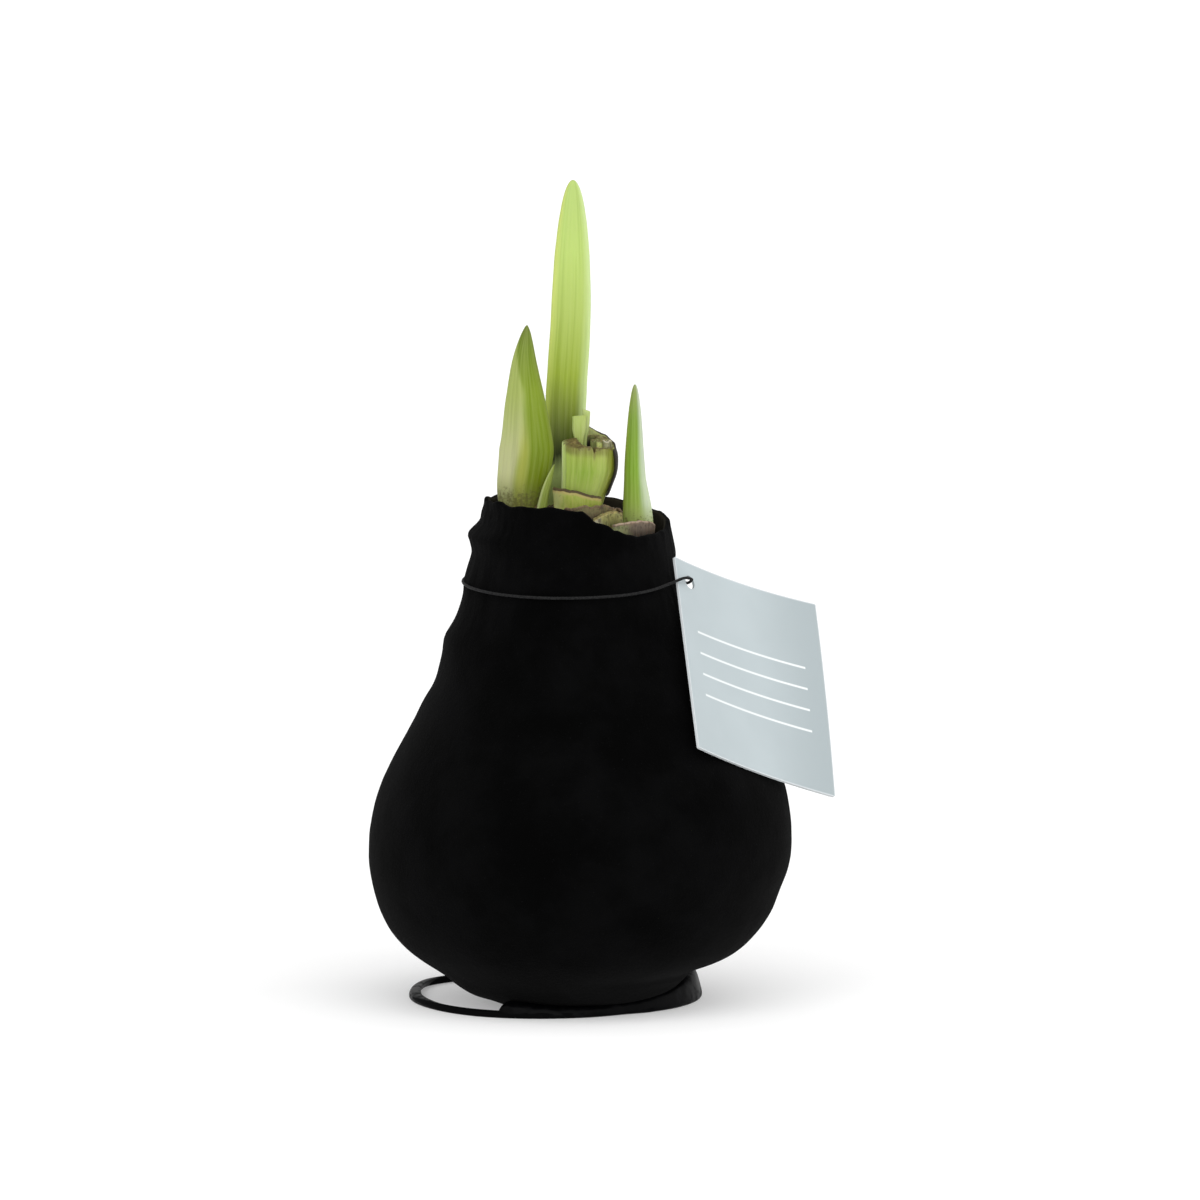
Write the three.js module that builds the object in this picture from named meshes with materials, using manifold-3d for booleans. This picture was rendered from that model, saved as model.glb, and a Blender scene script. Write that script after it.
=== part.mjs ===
// An amaryllis bulb dipped in black flocked wax, standing on a ring of wire, with its first leaves
// out of the open top and a blank card tag tied round the neck. Millimetres, +Z up. The origin is
// the middle of the flat underside, +X is to the right and -Y is the front.

import * as THREE from 'three';
import { mergeVertices } from 'three/addons/utils/BufferGeometryUtils.js';
import Module from 'manifold-3d';

const wasm = await Module();
wasm.setup();

const gap = 0.3; // between pieces that touch, or stand in one another
const facetsRound = 36; // round the bulb and its coat

// Body: the coat's outline as [radius, height] pairs, from the flat underside to the rim.
const restRadius = 12;
const bellyRadius = 47.3;
const bellyHeight = 36;
const neckRadius = 22.5;
const rimRadius = 21.6;
const rimLevel = 112; // mean height of the coat's rim
const bodyOutline = [
  [restRadius, 0],
  [19.5, 1.5],
  [27.5, 5.7],
  [39, 14.4],
  [45.9, 27],
  [bellyRadius, bellyHeight],
  [45, 49.7],
  [36.5, 65.6],
  [26.4, 87.2],
  [neckRadius, 102.4],
  [rimRadius, rimLevel],
];
const coatWall = 1.5;
const coatRows = 24;
const bulbRows = 15;

// Folds of the dry skins under the coat, at its left and right: [height, spread, amount].
const leftFolds = [
  [9, 3, -0.47],
  [18, 5, 0.35],
  [31, 6, -0.58],
  [45, 8, 0.29],
  [58, 8, 0.71],
  [67, 5, 0.19],
  [73.5, 3.5, -0.76],
  [83.3, 3, 0.97],
  [90, 4, -0.13],
  [97.5, 2, 0.25],
  [102, 2, -0.26],
  [106.4, 1.6, 1],
  [109.6, 1.5, -1.24],
  [113.5, 3, -1.8],
];
const rightFolds = [
  [11, 3, -0.23],
  [20, 6, 1.04],
  [35, 8, 0.73],
  [52, 10, 0.28],
  [70, 12, 0.15],
  [90, 8, 0.15],
  [102.6, 3.4, 0.84],
  [107, 2.5, 0.17],
];

// Height of the rim at equal bearings round the neck, from +X through the back.
const rimHeights = [108.4, 110.1, 111.2, 113.2, 113.6, 113.4, 113.4, 114.9, 114.4, 113.9, 108.4, 106.9];

// Wire stand
const wireRadius = 0.75;
const wireRest = 0.8; // height of the wire's middle where it lies on the floor
const ringRadius = 31.9;
const ringX = -2.7;
const ringY = 8.8;

// Stub of the old leaves, hollow at the top, and the pale sprout that stands out of it
const stubX = 3;
const stubY = -3;
const stubWide = 5.4; // half its width at the foot
const stubDeep = 4.9; // half its depth at the foot
const stubFoot = 105;
const stubTop = 127.5;
const stubHollow = 119; // floor of the hollow
const stubWall = 2;
const stubLean = 1.5; // to the right, where it widens above its foot
const sproutX = 3;
const sproutY = -1.6;
const sproutWide = 3.5;
const sproutDeep = 2;
const sproutFoot = 117;
const sproutTop = 133.6;

// Nose of the bulb: the ringed top that the growth stands in, as [radius, height] pairs.
const noseX = 1.2; // centre of the scales
const noseOutline = [
  [18.4, 107.2],
  [17.2, 106.7],
  [16.6, 107.8],
  [14.6, 108.2],
  [14, 109.4],
  [11.6, 109.8],
  [10.8, 111],
  [6, 111.6],
  [0, 111.8],
];

// Tag and cord
const tagWidth = 45.1;
const tagHeight = 47.8;
const tagThickness = 0.6;
const tagSag = 1.6; // how far the card's middle bows towards the bulb
const tagTwist = 1.6; // how far its lower right corner is bent back
const tagHoleRadius = 1.6;
const tagHoleIn = 4.7; // from the card's side
const tagHoleDown = 5; // from the card's top
const tagCorner = new THREE.Vector3(23.4, -7.6, 102.3); // top left corner
const tagAcross = new THREE.Vector3(31.94, 28.39, -14.46); // along the top edge
const tagDown = new THREE.Vector3(5.9, -25.74, -39.89); // along the side
const cordRadius = 0.32;

function closed(geometry) {
  geometry.deleteAttribute('normal');
  geometry.deleteAttribute('uv');
  const merged = mergeVertices(geometry, 1e-4);
  const corners = merged.getIndex().array;
  const kept = [];
  for (let i = 0; i < corners.length; i += 3) {
    const [a, b, c] = corners.slice(i, i + 3);
    if (a !== b && b !== c && c !== a) kept.push(a, b, c);
  }
  merged.setIndex(kept);
  return merged;
}

function solidOf(geometry) {
  const merged = closed(geometry);
  const vertProperties = new Float32Array(merged.attributes.position.array);
  const triVerts = new Uint32Array(merged.getIndex().array);
  return new wasm.Manifold(new wasm.Mesh({ numProp: 3, vertProperties, triVerts }));
}

function geometryOf(solid) {
  const mesh = solid.getMesh();
  const geometry = new THREE.BufferGeometry();
  geometry.setAttribute('position', new THREE.BufferAttribute(mesh.vertProperties, 3));
  geometry.setIndex(new THREE.BufferAttribute(mesh.triVerts, 1));
  return geometry;
}

function reshape(geometry, rule) {
  const position = geometry.attributes.position;
  const point = new THREE.Vector3();
  for (let i = 0; i < position.count; i += 1) {
    point.fromBufferAttribute(position, i);
    const moved = rule(point);
    position.setXYZ(i, moved.x, moved.y, moved.z);
  }
  return geometry;
}

function radians(degrees) {
  return THREE.MathUtils.degToRad(degrees);
}

function bump(value, middle, spread) {
  return Math.exp(-(((value - middle) / spread) ** 2));
}

function tube(points, radius, sides, steps) {
  const section = new THREE.Shape();
  section.absarc(0, 0, radius, 0, 2 * Math.PI);
  const path = new THREE.CatmullRomCurve3(points, false, 'centripetal');
  return new THREE.ExtrudeGeometry(section, { steps, curveSegments: sides / 2, extrudePath: path });
}

// ---- The bulb's uneven body, shared by the coat and the bulb inside it ----

const rimWave = new THREE.SplineCurve(
  [...rimHeights, rimHeights[0]].map((height, i) => new THREE.Vector2(i / rimHeights.length, height)),
);

function rimAt(angle) {
  const turn = (angle / (2 * Math.PI) + 1) % 1;
  const ripple = 0.3 * Math.sin(9 * angle) + 0.2 * Math.sin(17 * angle + 1);
  return rimWave.getPoint(turn).y + ripple;
}

function leanAt(height) {
  return Math.min(1.1, height / 13) + 2.4 * bump(height, 54, 22);
}

function foldsAt(folds, height) {
  return folds.reduce((sum, [middle, spread, amount]) => sum + amount * bump(height, middle, spread), 0);
}

function swellAt(angle, height) {
  const left = Math.max(0, -Math.cos(angle)) ** 1.5;
  const right = Math.max(0, Math.cos(angle)) ** 1.5;
  const flutes = 0.35 * Math.sin(5 * angle + 0.05 * height) * bump(height, 94, 20);
  return left * foldsAt(leftFolds, height) + right * foldsAt(rightFolds, height) + flutes;
}

function unevenPoint(point) {
  const angle = Math.atan2(point.y, point.x);
  const radius = Math.hypot(point.x, point.y);
  const outward = Math.min(1, radius / 15);
  const topward = THREE.MathUtils.smoothstep(point.z, 92, rimLevel);
  const height = point.z + (rimAt(angle) - rimLevel) * topward * outward;
  const swollen = radius + swellAt(angle, height) * outward;
  return new THREE.Vector3(leanAt(height) + swollen * Math.cos(angle), swollen * Math.sin(angle), height);
}

function outlineAt(rows, inset) {
  const curve = new THREE.SplineCurve(bodyOutline.map(([r, z]) => new THREE.Vector2(r, z)));
  const points = [];
  for (let row = 0; row <= rows; row += 1) {
    const at = curve.getPoint(row / rows);
    const along = curve.getTangent(row / rows);
    points.push(new THREE.Vector2(at.x - along.y * inset, at.y + along.x * inset));
  }
  return points;
}

function turned(profile) {
  const geometry = new THREE.LatheGeometry(profile, facetsRound);
  geometry.rotateX(Math.PI / 2);
  return reshape(closed(geometry), unevenPoint);
}

function onAxis(height) {
  return new THREE.Vector2(0, height);
}

// ---- Wire stand: flat ring, rising arm, and a spike up into the bulb ----

function onRing(degrees, radius, height) {
  const angle = radians(degrees);
  return new THREE.Vector3(ringX + radius * Math.cos(angle), ringY + radius * Math.sin(angle), height);
}

function wirePoints() {
  const spike = [
    new THREE.Vector3(9, 7, 33),
    new THREE.Vector3(16, 12.5, 22),
    new THREE.Vector3(22.5, 17.6, 12.8),
  ];
  const arm = [
    onRing(23, 31.3, 8),
    onRing(10, 31, 5.7),
    onRing(-2, 30.6, 4),
    onRing(-14, 30.5, 2.6),
    onRing(-28, 31.2, 1.3),
  ];
  const ring = [];
  for (let degrees = -45; degrees >= -370; degrees -= 25) ring.push(onRing(degrees, ringRadius, wireRest));
  return [...spike, ...arm, ...ring];
}

function wireGeometry(radius) {
  return tube(wirePoints(), radius, 8, 96);
}

// ---- Coat ----

// Wax that joins the wire to the coat: a web that rises along the arm, and a drip in front of it.
// Each row is the bearing on the ring, its radius, the height and the run's half thickness there.
const waxRuns = [
  [
    [14, 30.2, 7.6, 2.1],
    [-2, 30.3, 5.4, 2.4],
    [-14, 30.4, 4.2, 2.4],
    [-28, 30.7, 3.2, 2.2],
    [-44, 31, 2.5, 1.9],
    [-58, 31.3, 1.9, 1.5],
    [-70, 31.6, 1.4, 1],
  ],
  [
    [-97, 31.6, 1.5, 1],
    [-104, 31.2, 2.2, 1.8],
    [-111, 31, 2.6, 1.6],
  ],
];
const waxSides = 10;

function waxGeometry(run) {
  const knots = run.map(([degrees, radius, height]) => onRing(degrees, radius, height));
  const path = new THREE.CatmullRomCurve3(knots);
  const girth = new THREE.SplineCurve(run.map((row, i) => new THREE.Vector2(i / (run.length - 1), row[3])));
  const geometry = closed(new THREE.CylinderGeometry(1, 1, 1, waxSides, run.length * 3));
  return reshape(geometry, (point) => {
    const t = point.y + 0.5;
    const along = path.getTangent(t);
    const side = new THREE.Vector3().crossVectors(along, new THREE.Vector3(0, 0, 1)).normalize();
    const above = new THREE.Vector3().crossVectors(side, along);
    const radius = girth.getPoint(t).y;
    return path.getPoint(t).addScaledVector(side, point.x * radius).addScaledVector(above, point.z * radius);
  });
}

function coatGeometry() {
  const outside = outlineAt(coatRows, 0);
  const inside = outlineAt(bulbRows, coatWall).reverse();
  const lip = new THREE.Vector2(rimRadius - coatWall / 2, rimLevel + 0.6);
  const cup = solidOf(turned([onAxis(0), ...outside, lip, ...inside, onAxis(coatWall)]));
  const room = solidOf(turned([onAxis(coatWall), ...outlineAt(bulbRows, coatWall), onAxis(rimLevel)]));
  const wax = waxRuns.map((run) => solidOf(waxGeometry(run)).subtract(room));
  const channel = solidOf(wireGeometry(wireRadius + gap));
  return geometryOf(wax.reduce((whole, run) => whole.add(run), cup).subtract(channel));
}

// ---- Leaves: an oval or crescent section strung along a spine ----

const leaves = {
  leaf_tall: {
    spine: [
      [-1.4, 6.2, 104],
      [-1, 6.4, 120],
      [-0.5, 6.8, 137],
      [0.4, 7.4, 153],
      [0.8, 7.9, 170],
      [1.2, 8.3, 185.4],
    ],
    halfWidth: 4.6,
    widest: 0.46,
    tipPower: 2.15,
    tipRound: 0.5,
    baseShare: 0.86,
    thickness: 2.6,
    cup: -0.9,
    bearing: 4,
    twist: 6,
    color: '#a9c25c',
  },
  leaf_left: {
    spine: [
      [-11, -5, 104],
      [-10.7, -5.2, 116],
      [-9.2, -5.6, 126],
      [-9.4, -5.9, 137],
      [-9.8, -6, 146],
      [-9.3, -6, 154.3],
    ],
    halfWidth: 6.2,
    widest: 0.42,
    tipPower: 1.3,
    tipRound: 0.75,
    baseShare: 0.7,
    thickness: 2.6,
    cup: 1.3,
    bearing: 10,
    twist: -6,
    color: '#7f9e3a',
  },
  leaf_right: {
    spine: [
      [15.5, -4.4, 101.6],
      [15.4, -4.5, 114],
      [15, -4.7, 124],
      [14.9, -4.9, 132],
      [14.9, -5, 140.8],
    ],
    halfWidth: 3.1,
    widest: 0.14,
    tipPower: 1,
    tipRound: 0.6,
    baseShare: 0.95,
    thickness: 1.9,
    cup: 0.7,
    bearing: -6,
    twist: 8,
    color: '#8aa84a',
  },
  leaf_sliver: {
    spine: [
      [-7.2, -6.9, 105.5],
      [-5.8, -6.9, 113.2],
      [-4.8, -6.9, 117.7],
      [-3, -6.7, 123],
    ],
    halfWidth: 1.15,
    widest: 0.4,
    tipPower: 1.4,
    tipRound: 0.6,
    baseShare: 0.9,
    thickness: 1.1,
    cup: 0,
    bearing: 0,
    twist: 0,
    color: '#c6d68c',
  },
};
const leafRows = 18;
const leafSides = 10;

function widthShare(leaf, t) {
  if (t < leaf.widest) {
    const below = 1 - t / leaf.widest;
    return 1 - (1 - leaf.baseShare) * below * below;
  }
  const above = (t - leaf.widest) / (1 - leaf.widest);
  return (1 - above ** leaf.tipPower) ** leaf.tipRound;
}

function leafGeometry(leaf, margin) {
  const spine = new THREE.CatmullRomCurve3(leaf.spine.map((point) => new THREE.Vector3(...point)));
  const geometry = closed(new THREE.CylinderGeometry(1, 1, 1, leafSides, leafRows));
  return reshape(geometry, (point) => {
    const t = 1 - (0.5 - point.y) ** 1.5;
    const share = Math.max(0.05, widthShare(leaf, t));
    const along = spine.getTangentAt(t);
    const bearing = radians(leaf.bearing + leaf.twist * t);
    const across = new THREE.Vector3(Math.cos(bearing), Math.sin(bearing), 0);
    across.addScaledVector(along, -across.dot(along)).normalize();
    const front = new THREE.Vector3().crossVectors(across, along);
    const wide = (leaf.halfWidth * share + margin) * point.x;
    const deep = (leaf.thickness * 0.5 * share ** 0.4 + margin) * point.z;
    const curl = -leaf.cup * share * point.x * point.x;
    const sunk = t === 0 ? -margin : 0;
    return spine.getPointAt(t).addScaledVector(across, wide).addScaledVector(front, deep + curl)
      .addScaledVector(along, sunk);
  });
}

// ---- Crescents: bulb scales and the cut leaf base, as upright strips bent round a centre ----

// Bearings are from +X through the back. The top falls from its crown to both ends, and slopes along.
const scales = {
  scale_green: {
    x: noseX, y: 0, radius: 15.2, wall: 1, from: -73, to: -43,
    foot: 103, crown: 112.9, fall: 0.6, slope: 0.7, color: '#b9c77e',
  },
  scale_front: {
    x: noseX, y: 0, radius: 13, wall: 0.9, from: -86, to: -42,
    foot: 104, crown: 114.4, fall: 1.3, slope: -0.4, color: '#b98a68',
  },
  scale_right: {
    x: noseX, y: 0, radius: 18.3, wall: 0.9, from: -61, to: -12,
    foot: 100, crown: 110.8, fall: 1.1, slope: -1.4, color: '#a87858',
  },
  scale_left: {
    x: noseX, y: 0, radius: 16.2, wall: 0.8, from: 112, to: 166,
    foot: 103, crown: 112.4, fall: 0.8, slope: 0.6, color: '#8c6447',
  },
  scale_low: {
    x: noseX, y: 0, radius: 15.4, wall: 0.8, from: 214, to: 258,
    foot: 103, crown: 112.8, fall: 0.8, slope: 0, color: '#94694b',
  },
  scale_back: {
    x: noseX, y: 0, radius: 14.2, wall: 0.9, from: 34, to: 138,
    foot: 103, crown: 112.2, fall: 1.6, slope: 0.8, color: '#9c7350',
  },
  cut_leaf_base: {
    x: 2.2, y: -3.4, radius: 6.9, wall: 1.5, from: -139, to: -42,
    foot: 106, crown: 117.3, fall: 0.4, slope: -2.4, color: '#a3b552',
  },
};

function stripGeometry(strip, margin) {
  const arcSteps = Math.ceil((strip.to - strip.from) / 9);
  const geometry = closed(new THREE.BoxGeometry(1, 1, 1, arcSteps, 1, 3));
  const endMargin = (margin / strip.radius) * (180 / Math.PI);
  return reshape(geometry, (point) => {
    const turn = point.x + 0.5;
    const bearing = strip.from - endMargin + (strip.to - strip.from + 2 * endMargin) * turn;
    const hump = Math.sin(Math.PI * turn);
    const wall = strip.wall * (0.55 + 0.45 * hump) + 2 * margin;
    const radius = strip.radius + strip.wall / 2 - wall * point.y;
    const ragged = 0.25 * Math.sin(radians(bearing * 11));
    const slotOpen = 12 * margin; // a slot in the bulb is open above the scale
    const top = strip.crown - strip.fall * (1 - hump) + strip.slope * (turn - 0.5) + ragged + slotOpen;
    const height = strip.foot - margin + (top - strip.foot + margin) * (point.z + 0.5);
    const angle = radians(bearing);
    return new THREE.Vector3(
      strip.x + radius * Math.cos(angle),
      strip.y + radius * Math.sin(angle),
      height,
    );
  });
}

// ---- Stub: the old leaves cut across, hollow at the top, round a pale inner leaf ----

const innerLeaf = {
  x: 5.2, y: -2.6, radius: 1.5, wall: 1.2, from: -80, to: 130,
  foot: 118, crown: 128, fall: 0.4, slope: 0,
};

// The bundle is narrow and upright at its foot, then widens and leans over its middle.
function stubSpread(rise) {
  return THREE.MathUtils.smoothstep(rise, 0.36, 0.78);
}

function stubFlare(rise) {
  return 0.83 + 0.27 * stubSpread(rise);
}

function stubPoint(point) {
  const angle = Math.atan2(point.y, point.x);
  const rise = (point.z - stubFoot) / (stubTop - stubFoot);
  const topward = THREE.MathUtils.smoothstep(point.z, stubHollow, stubTop);
  const notch = 1.6 * bump(angle, radians(-76), 0.2);
  const uneven = -0.9 * Math.cos(angle) + 0.5 * Math.sin(angle) + 0.3 * Math.sin(4 * angle) - notch;
  const flare = stubFlare(rise) + 0.02 * Math.sin(3 * angle + 1);
  return new THREE.Vector3(
    stubX + stubLean * stubSpread(rise) + point.x * flare,
    stubY + point.y * flare * (stubDeep / stubWide),
    point.z + uneven * topward,
  );
}

function stubSolid(profile) {
  const geometry = new THREE.LatheGeometry(profile.map(([r, z]) => new THREE.Vector2(r, z)), 24);
  geometry.rotateX(Math.PI / 2);
  return solidOf(reshape(closed(geometry), stubPoint));
}

function stubGeometry() {
  const inner = stubWide - stubWall;
  const wall = stubSolid([
    [0, stubFoot],
    [stubWide, stubFoot],
    ...[113, 115, 117, 119, 121.5].map((height) => [stubWide, height]),
    [stubWide, stubTop - 0.5],
    [stubWide - 0.4, stubTop],
    [inner + 0.3, stubTop],
    [inner, stubTop - 0.4],
    [inner, 123],
    [inner - 0.4, stubHollow],
    [0, stubHollow],
  ]);
  const roll = new THREE.CylinderGeometry(0.85, 0.7, 9.5, 10);
  roll.rotateX(Math.PI / 2);
  roll.translate(stubX + 5.5, stubY - 0.4, 123.2);
  const core = inner - 0.5;
  const pith = stubSolid([[0, stubFoot], [core, stubFoot], [core, stubHollow], [0, stubHollow]]);
  const bundle = wall.add(pith).add(solidOf(stripGeometry(innerLeaf, 0))).add(solidOf(roll));
  return geometryOf(bundle.subtract(solidOf(sproutGeometry(gap))));
}

function stubPocket() {
  const wide = stubWide + gap;
  return stubSolid([[0, stubFoot - gap], [wide, stubFoot - gap], [wide, 112], [wide, 120], [0, 120]]);
}

function sproutGeometry(margin) {
  const geometry = closed(new THREE.CylinderGeometry(1, 1, 1, 12, 4));
  geometry.rotateX(Math.PI / 2);
  return reshape(geometry, (point) => {
    const rise = point.z + 0.5;
    const share = 1 + 0.06 * rise;
    const foot = sproutFoot - margin;
    return new THREE.Vector3(
      sproutX + 0.35 * rise + point.x * (sproutWide * 0.5 * share + margin),
      sproutY + 0.3 * rise + point.y * (sproutDeep * 0.5 * share + margin) - 0.35 * point.x * point.x,
      foot + (sproutTop - foot + 0.5 * point.x * rise) * rise,
    );
  });
}

// The dried skin follows the stub's flank, high behind the inner leaf and low at the right front.
function skinGeometry() {
  const from = -34;
  const to = 104;
  const wall = 0.55;
  const geometry = closed(new THREE.BoxGeometry(1, 1, 1, 16, 1, 6));
  return reshape(geometry, (point) => {
    const turn = point.x + 0.5;
    const bearing = radians(from + (to - from) * turn);
    const top = 125.4 + 5.4 * turn ** 1.6 + 0.4 * Math.sin(9 * bearing);
    const foot = 115.5 + 4 * turn;
    const height = foot + (top - foot) * (point.z + 0.5);
    const rise = (height - stubFoot) / (stubTop - stubFoot);
    const flare = stubFlare(rise) + 0.02;
    const off = gap + wall * (0.5 - point.y);
    return new THREE.Vector3(
      stubX + stubLean * stubSpread(rise) + (stubWide * flare + off) * Math.cos(bearing),
      stubY + (stubDeep * flare + off) * Math.sin(bearing),
      height,
    );
  });
}

// ---- Bulb: fills the coat, with a ringed nose that the leaves and scales stand in ----

function bulbGeometry() {
  const flank = outlineAt(bulbRows, coatWall + gap);
  const nose = noseOutline.map(([r, z]) => new THREE.Vector2(r, z));
  const flesh = solidOf(turned([onAxis(coatWall + gap), ...flank.slice(0, -1), ...nose]));
  const pockets = [
    stubPocket(),
    solidOf(wireGeometry(wireRadius + gap)),
    ...Object.values(leaves).map((leaf) => solidOf(leafGeometry(leaf, gap))),
    ...Object.values(scales).map((scale) => solidOf(stripGeometry(scale, gap))),
  ];
  return geometryOf(pockets.reduce((rest, pocket) => rest.subtract(pocket), flesh));
}

// ---- Tag, cord and knot ----

function tagGeometry() {
  const card = new THREE.BoxGeometry(tagWidth, tagHeight, tagThickness, 12, 3, 1);
  reshape(card, (point) => {
    const side = (2 * point.x) / tagWidth;
    const corner = (point.x / tagWidth + 0.5) * (0.5 - point.y / tagHeight);
    const bow = tagSag * (1 - side * side) + tagTwist * corner * corner;
    return new THREE.Vector3(point.x, point.y, point.z - bow);
  });
  const hole = new THREE.CylinderGeometry(tagHoleRadius, tagHoleRadius, 6, 16);
  hole.rotateX(Math.PI / 2);
  hole.translate(tagHoleIn - tagWidth / 2, tagHeight / 2 - tagHoleDown, 0);
  return geometryOf(solidOf(card).subtract(solidOf(hole)));
}

function placeTag(mesh) {
  const right = tagAcross.clone().normalize();
  const up = tagDown.clone().negate();
  up.addScaledVector(right, -up.dot(right)).normalize();
  const out = new THREE.Vector3().crossVectors(right, up);
  mesh.quaternion.setFromRotationMatrix(new THREE.Matrix4().makeBasis(right, up, out));
  mesh.position.copy(tagCorner).addScaledVector(tagAcross, 0.5).addScaledVector(tagDown, 0.5);
}

const cordRoute = [
  [-0.6, 24.9, 96.6],
  [-6.5, 23.6, 96.5],
  [-15.6, 18.2, 96.3],
  [-21.6, 9.8, 96],
  [-23.6, 0, 95.7],
  [-21.6, -9.8, 95.4],
  [-15.5, -18.4, 95.1],
  [-6.4, -23.8, 95],
  [4, -24.7, 95.1],
  [13.4, -21.6, 95.4],
  [19.3, -17, 96],
  [23.4, -12.9, 97],
  [26.2, -10.8, 97.8],
  [27.8, -8.9, 97.2],
  [27, -6.8, 96.2],
  [26.2, -3.4, 95.9],
  [25.9, 2, 96.1],
  [23.8, 9.4, 96.4],
  [18, 17.8, 96.5],
  [9.4, 23.4, 96.6],
  [2.8, 24.9, 96.6],
].map((point) => new THREE.Vector3(...point));

function knotGeometry() {
  const lump = new THREE.SphereGeometry(1.25, 12, 8);
  lump.scale(1.05, 0.8, 1);
  lump.translate(1.1, 25.3, 96.5);
  const tails = [
    [[0.9, 25.4, 96], [0.2, 26.2, 93.6], [-1.2, 26.4, 91.2], [-2, 26.9, 89]],
    [[1.4, 25.4, 96], [2.2, 26.2, 94.2], [3.3, 26.3, 92.4], [3.6, 26.9, 90.6]],
  ];
  let knot = solidOf(lump);
  for (const tail of tails) {
    const points = tail.map((point) => new THREE.Vector3(...point));
    knot = knot.add(solidOf(tube(points, cordRadius, 6, 8)));
  }
  return geometryOf(knot);
}

// ---- The whole ----

function makeMesh(name, geometry, color, roughness, metalness = 0) {
  geometry.computeVertexNormals();
  const mesh = new THREE.Mesh(geometry, new THREE.MeshStandardMaterial({ color, roughness, metalness }));
  mesh.name = name;
  return mesh;
}

const body = new THREE.Group();
body.add(makeMesh('velvet_coat', coatGeometry(), '#0b0b0c', 0.95));
body.add(makeMesh('bulb', bulbGeometry(), '#8a6444', 0.8));
body.add(makeMesh('wire_stand', closed(wireGeometry(wireRadius)), '#101012', 0.4, 0.6));

const growth = new THREE.Group();
for (const [name, leaf] of Object.entries(leaves)) {
  growth.add(makeMesh(name, leafGeometry(leaf, 0), leaf.color, 0.5));
}
for (const [name, scale] of Object.entries(scales)) {
  growth.add(makeMesh(name, stripGeometry(scale, 0), scale.color, 0.75));
}
growth.add(makeMesh('leaf_stub', stubGeometry(), '#a8b860', 0.6));
growth.add(makeMesh('stub_sprout', sproutGeometry(0), '#c3d57a', 0.5));
growth.add(makeMesh('stub_skin', skinGeometry(), '#3c2418', 0.8));

const label = new THREE.Group();
const tag = makeMesh('hang_tag', tagGeometry(), '#c3cbcd', 0.7);
placeTag(tag);
label.add(tag);
label.add(makeMesh('tag_cord', closed(tube(cordRoute, cordRadius, 8, 80)), '#0c0c0e', 0.7));
label.add(makeMesh('cord_knot', knotGeometry(), '#0c0c0e', 0.7));

const amaryllis = new THREE.Group();
amaryllis.add(body, growth, label);

export default amaryllis;
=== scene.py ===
import math

import bmesh
import bpy
from mathutils import Matrix, Vector, noise


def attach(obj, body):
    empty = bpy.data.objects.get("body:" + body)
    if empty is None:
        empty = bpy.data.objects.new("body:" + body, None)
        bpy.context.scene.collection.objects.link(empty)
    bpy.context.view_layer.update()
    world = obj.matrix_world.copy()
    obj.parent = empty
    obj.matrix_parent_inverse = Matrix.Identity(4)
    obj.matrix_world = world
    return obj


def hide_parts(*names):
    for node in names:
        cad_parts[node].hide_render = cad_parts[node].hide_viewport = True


# Waxed amaryllis: a bulb in black flocked wax on a wire ring, its first leaves, and a plain card
# tag on a cord. Pieces are modelled in millimetres and brought to metres when they are finished.

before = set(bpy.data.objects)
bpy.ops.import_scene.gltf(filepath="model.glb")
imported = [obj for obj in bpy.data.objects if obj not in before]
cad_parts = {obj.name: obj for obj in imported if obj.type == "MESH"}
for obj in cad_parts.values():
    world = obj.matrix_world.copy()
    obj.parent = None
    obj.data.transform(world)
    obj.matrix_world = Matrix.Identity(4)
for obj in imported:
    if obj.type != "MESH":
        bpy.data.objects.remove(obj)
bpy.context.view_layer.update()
mm = 0.001
up = Vector((0, 0, 1))
scene = bpy.context.scene
print("frame loaded:", len(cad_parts), "nodes")


# camera

camera = {
    "distance": 5.0,
    "elevation": 7.4,  # degrees above the floor
    "target": (0.0072, 0.0117, 0.0899),
    "lens": 666.4,
    "sensor": 36.0,
}


def addCamera():
    data = bpy.data.cameras.new("camera")
    data.lens = camera["lens"]
    data.sensor_width = camera["sensor"]
    data.clip_end = 60
    eye = bpy.data.objects.new("camera", data)
    tilt = math.radians(camera["elevation"])
    back = Vector((0, -math.cos(tilt), math.sin(tilt)))
    eye.location = Vector(camera["target"]) + back * camera["distance"]
    eye.rotation_euler = (-back).to_track_quat("-Z", "Y").to_euler()
    scene.collection.objects.link(eye)
    scene.camera = eye


addCamera()


# curves through given points

def curvePoint(points, share, even=False):
    last = len(points) - 1
    i = min(int(share * last), last - 1)
    t = share * last - i
    b, c = points[i], points[i + 1]
    a = points[i - 1] if i > 0 else (b if even else 2 * b - c)
    d = points[i + 2] if i + 2 <= last else (c if even else 2 * c - b)
    spans = [1 if even else math.sqrt((q - p).length) or 1 for p, q in ((a, b), (b, c), (c, d))]
    before, here, after = spans
    leave = ((b - a) / before - (c - a) / (before + here) + (c - b) / here) * here
    arrive = ((c - b) / here - (d - b) / (here + after) + (d - c) / after) * here
    cubic = (2 * b - 2 * c + leave + arrive) * t ** 3
    return cubic + (3 * c - 3 * b - 2 * leave - arrive) * t ** 2 + leave * t + b


def clamp(value, low=0.0, high=1.0):
    return min(high, max(low, value))


def smoothStep(value, low, high):
    share = clamp((value - low) / (high - low))
    return share * share * (3 - 2 * share)


def bump(value, middle, spread):
    return math.exp(-(((value - middle) / spread) ** 2))


def roundEnd(distance, span):  # 0 at an end, 1 from span on, along a quarter circle
    return math.sqrt(1 - (1 - clamp(distance / span)) ** 2)


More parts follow.
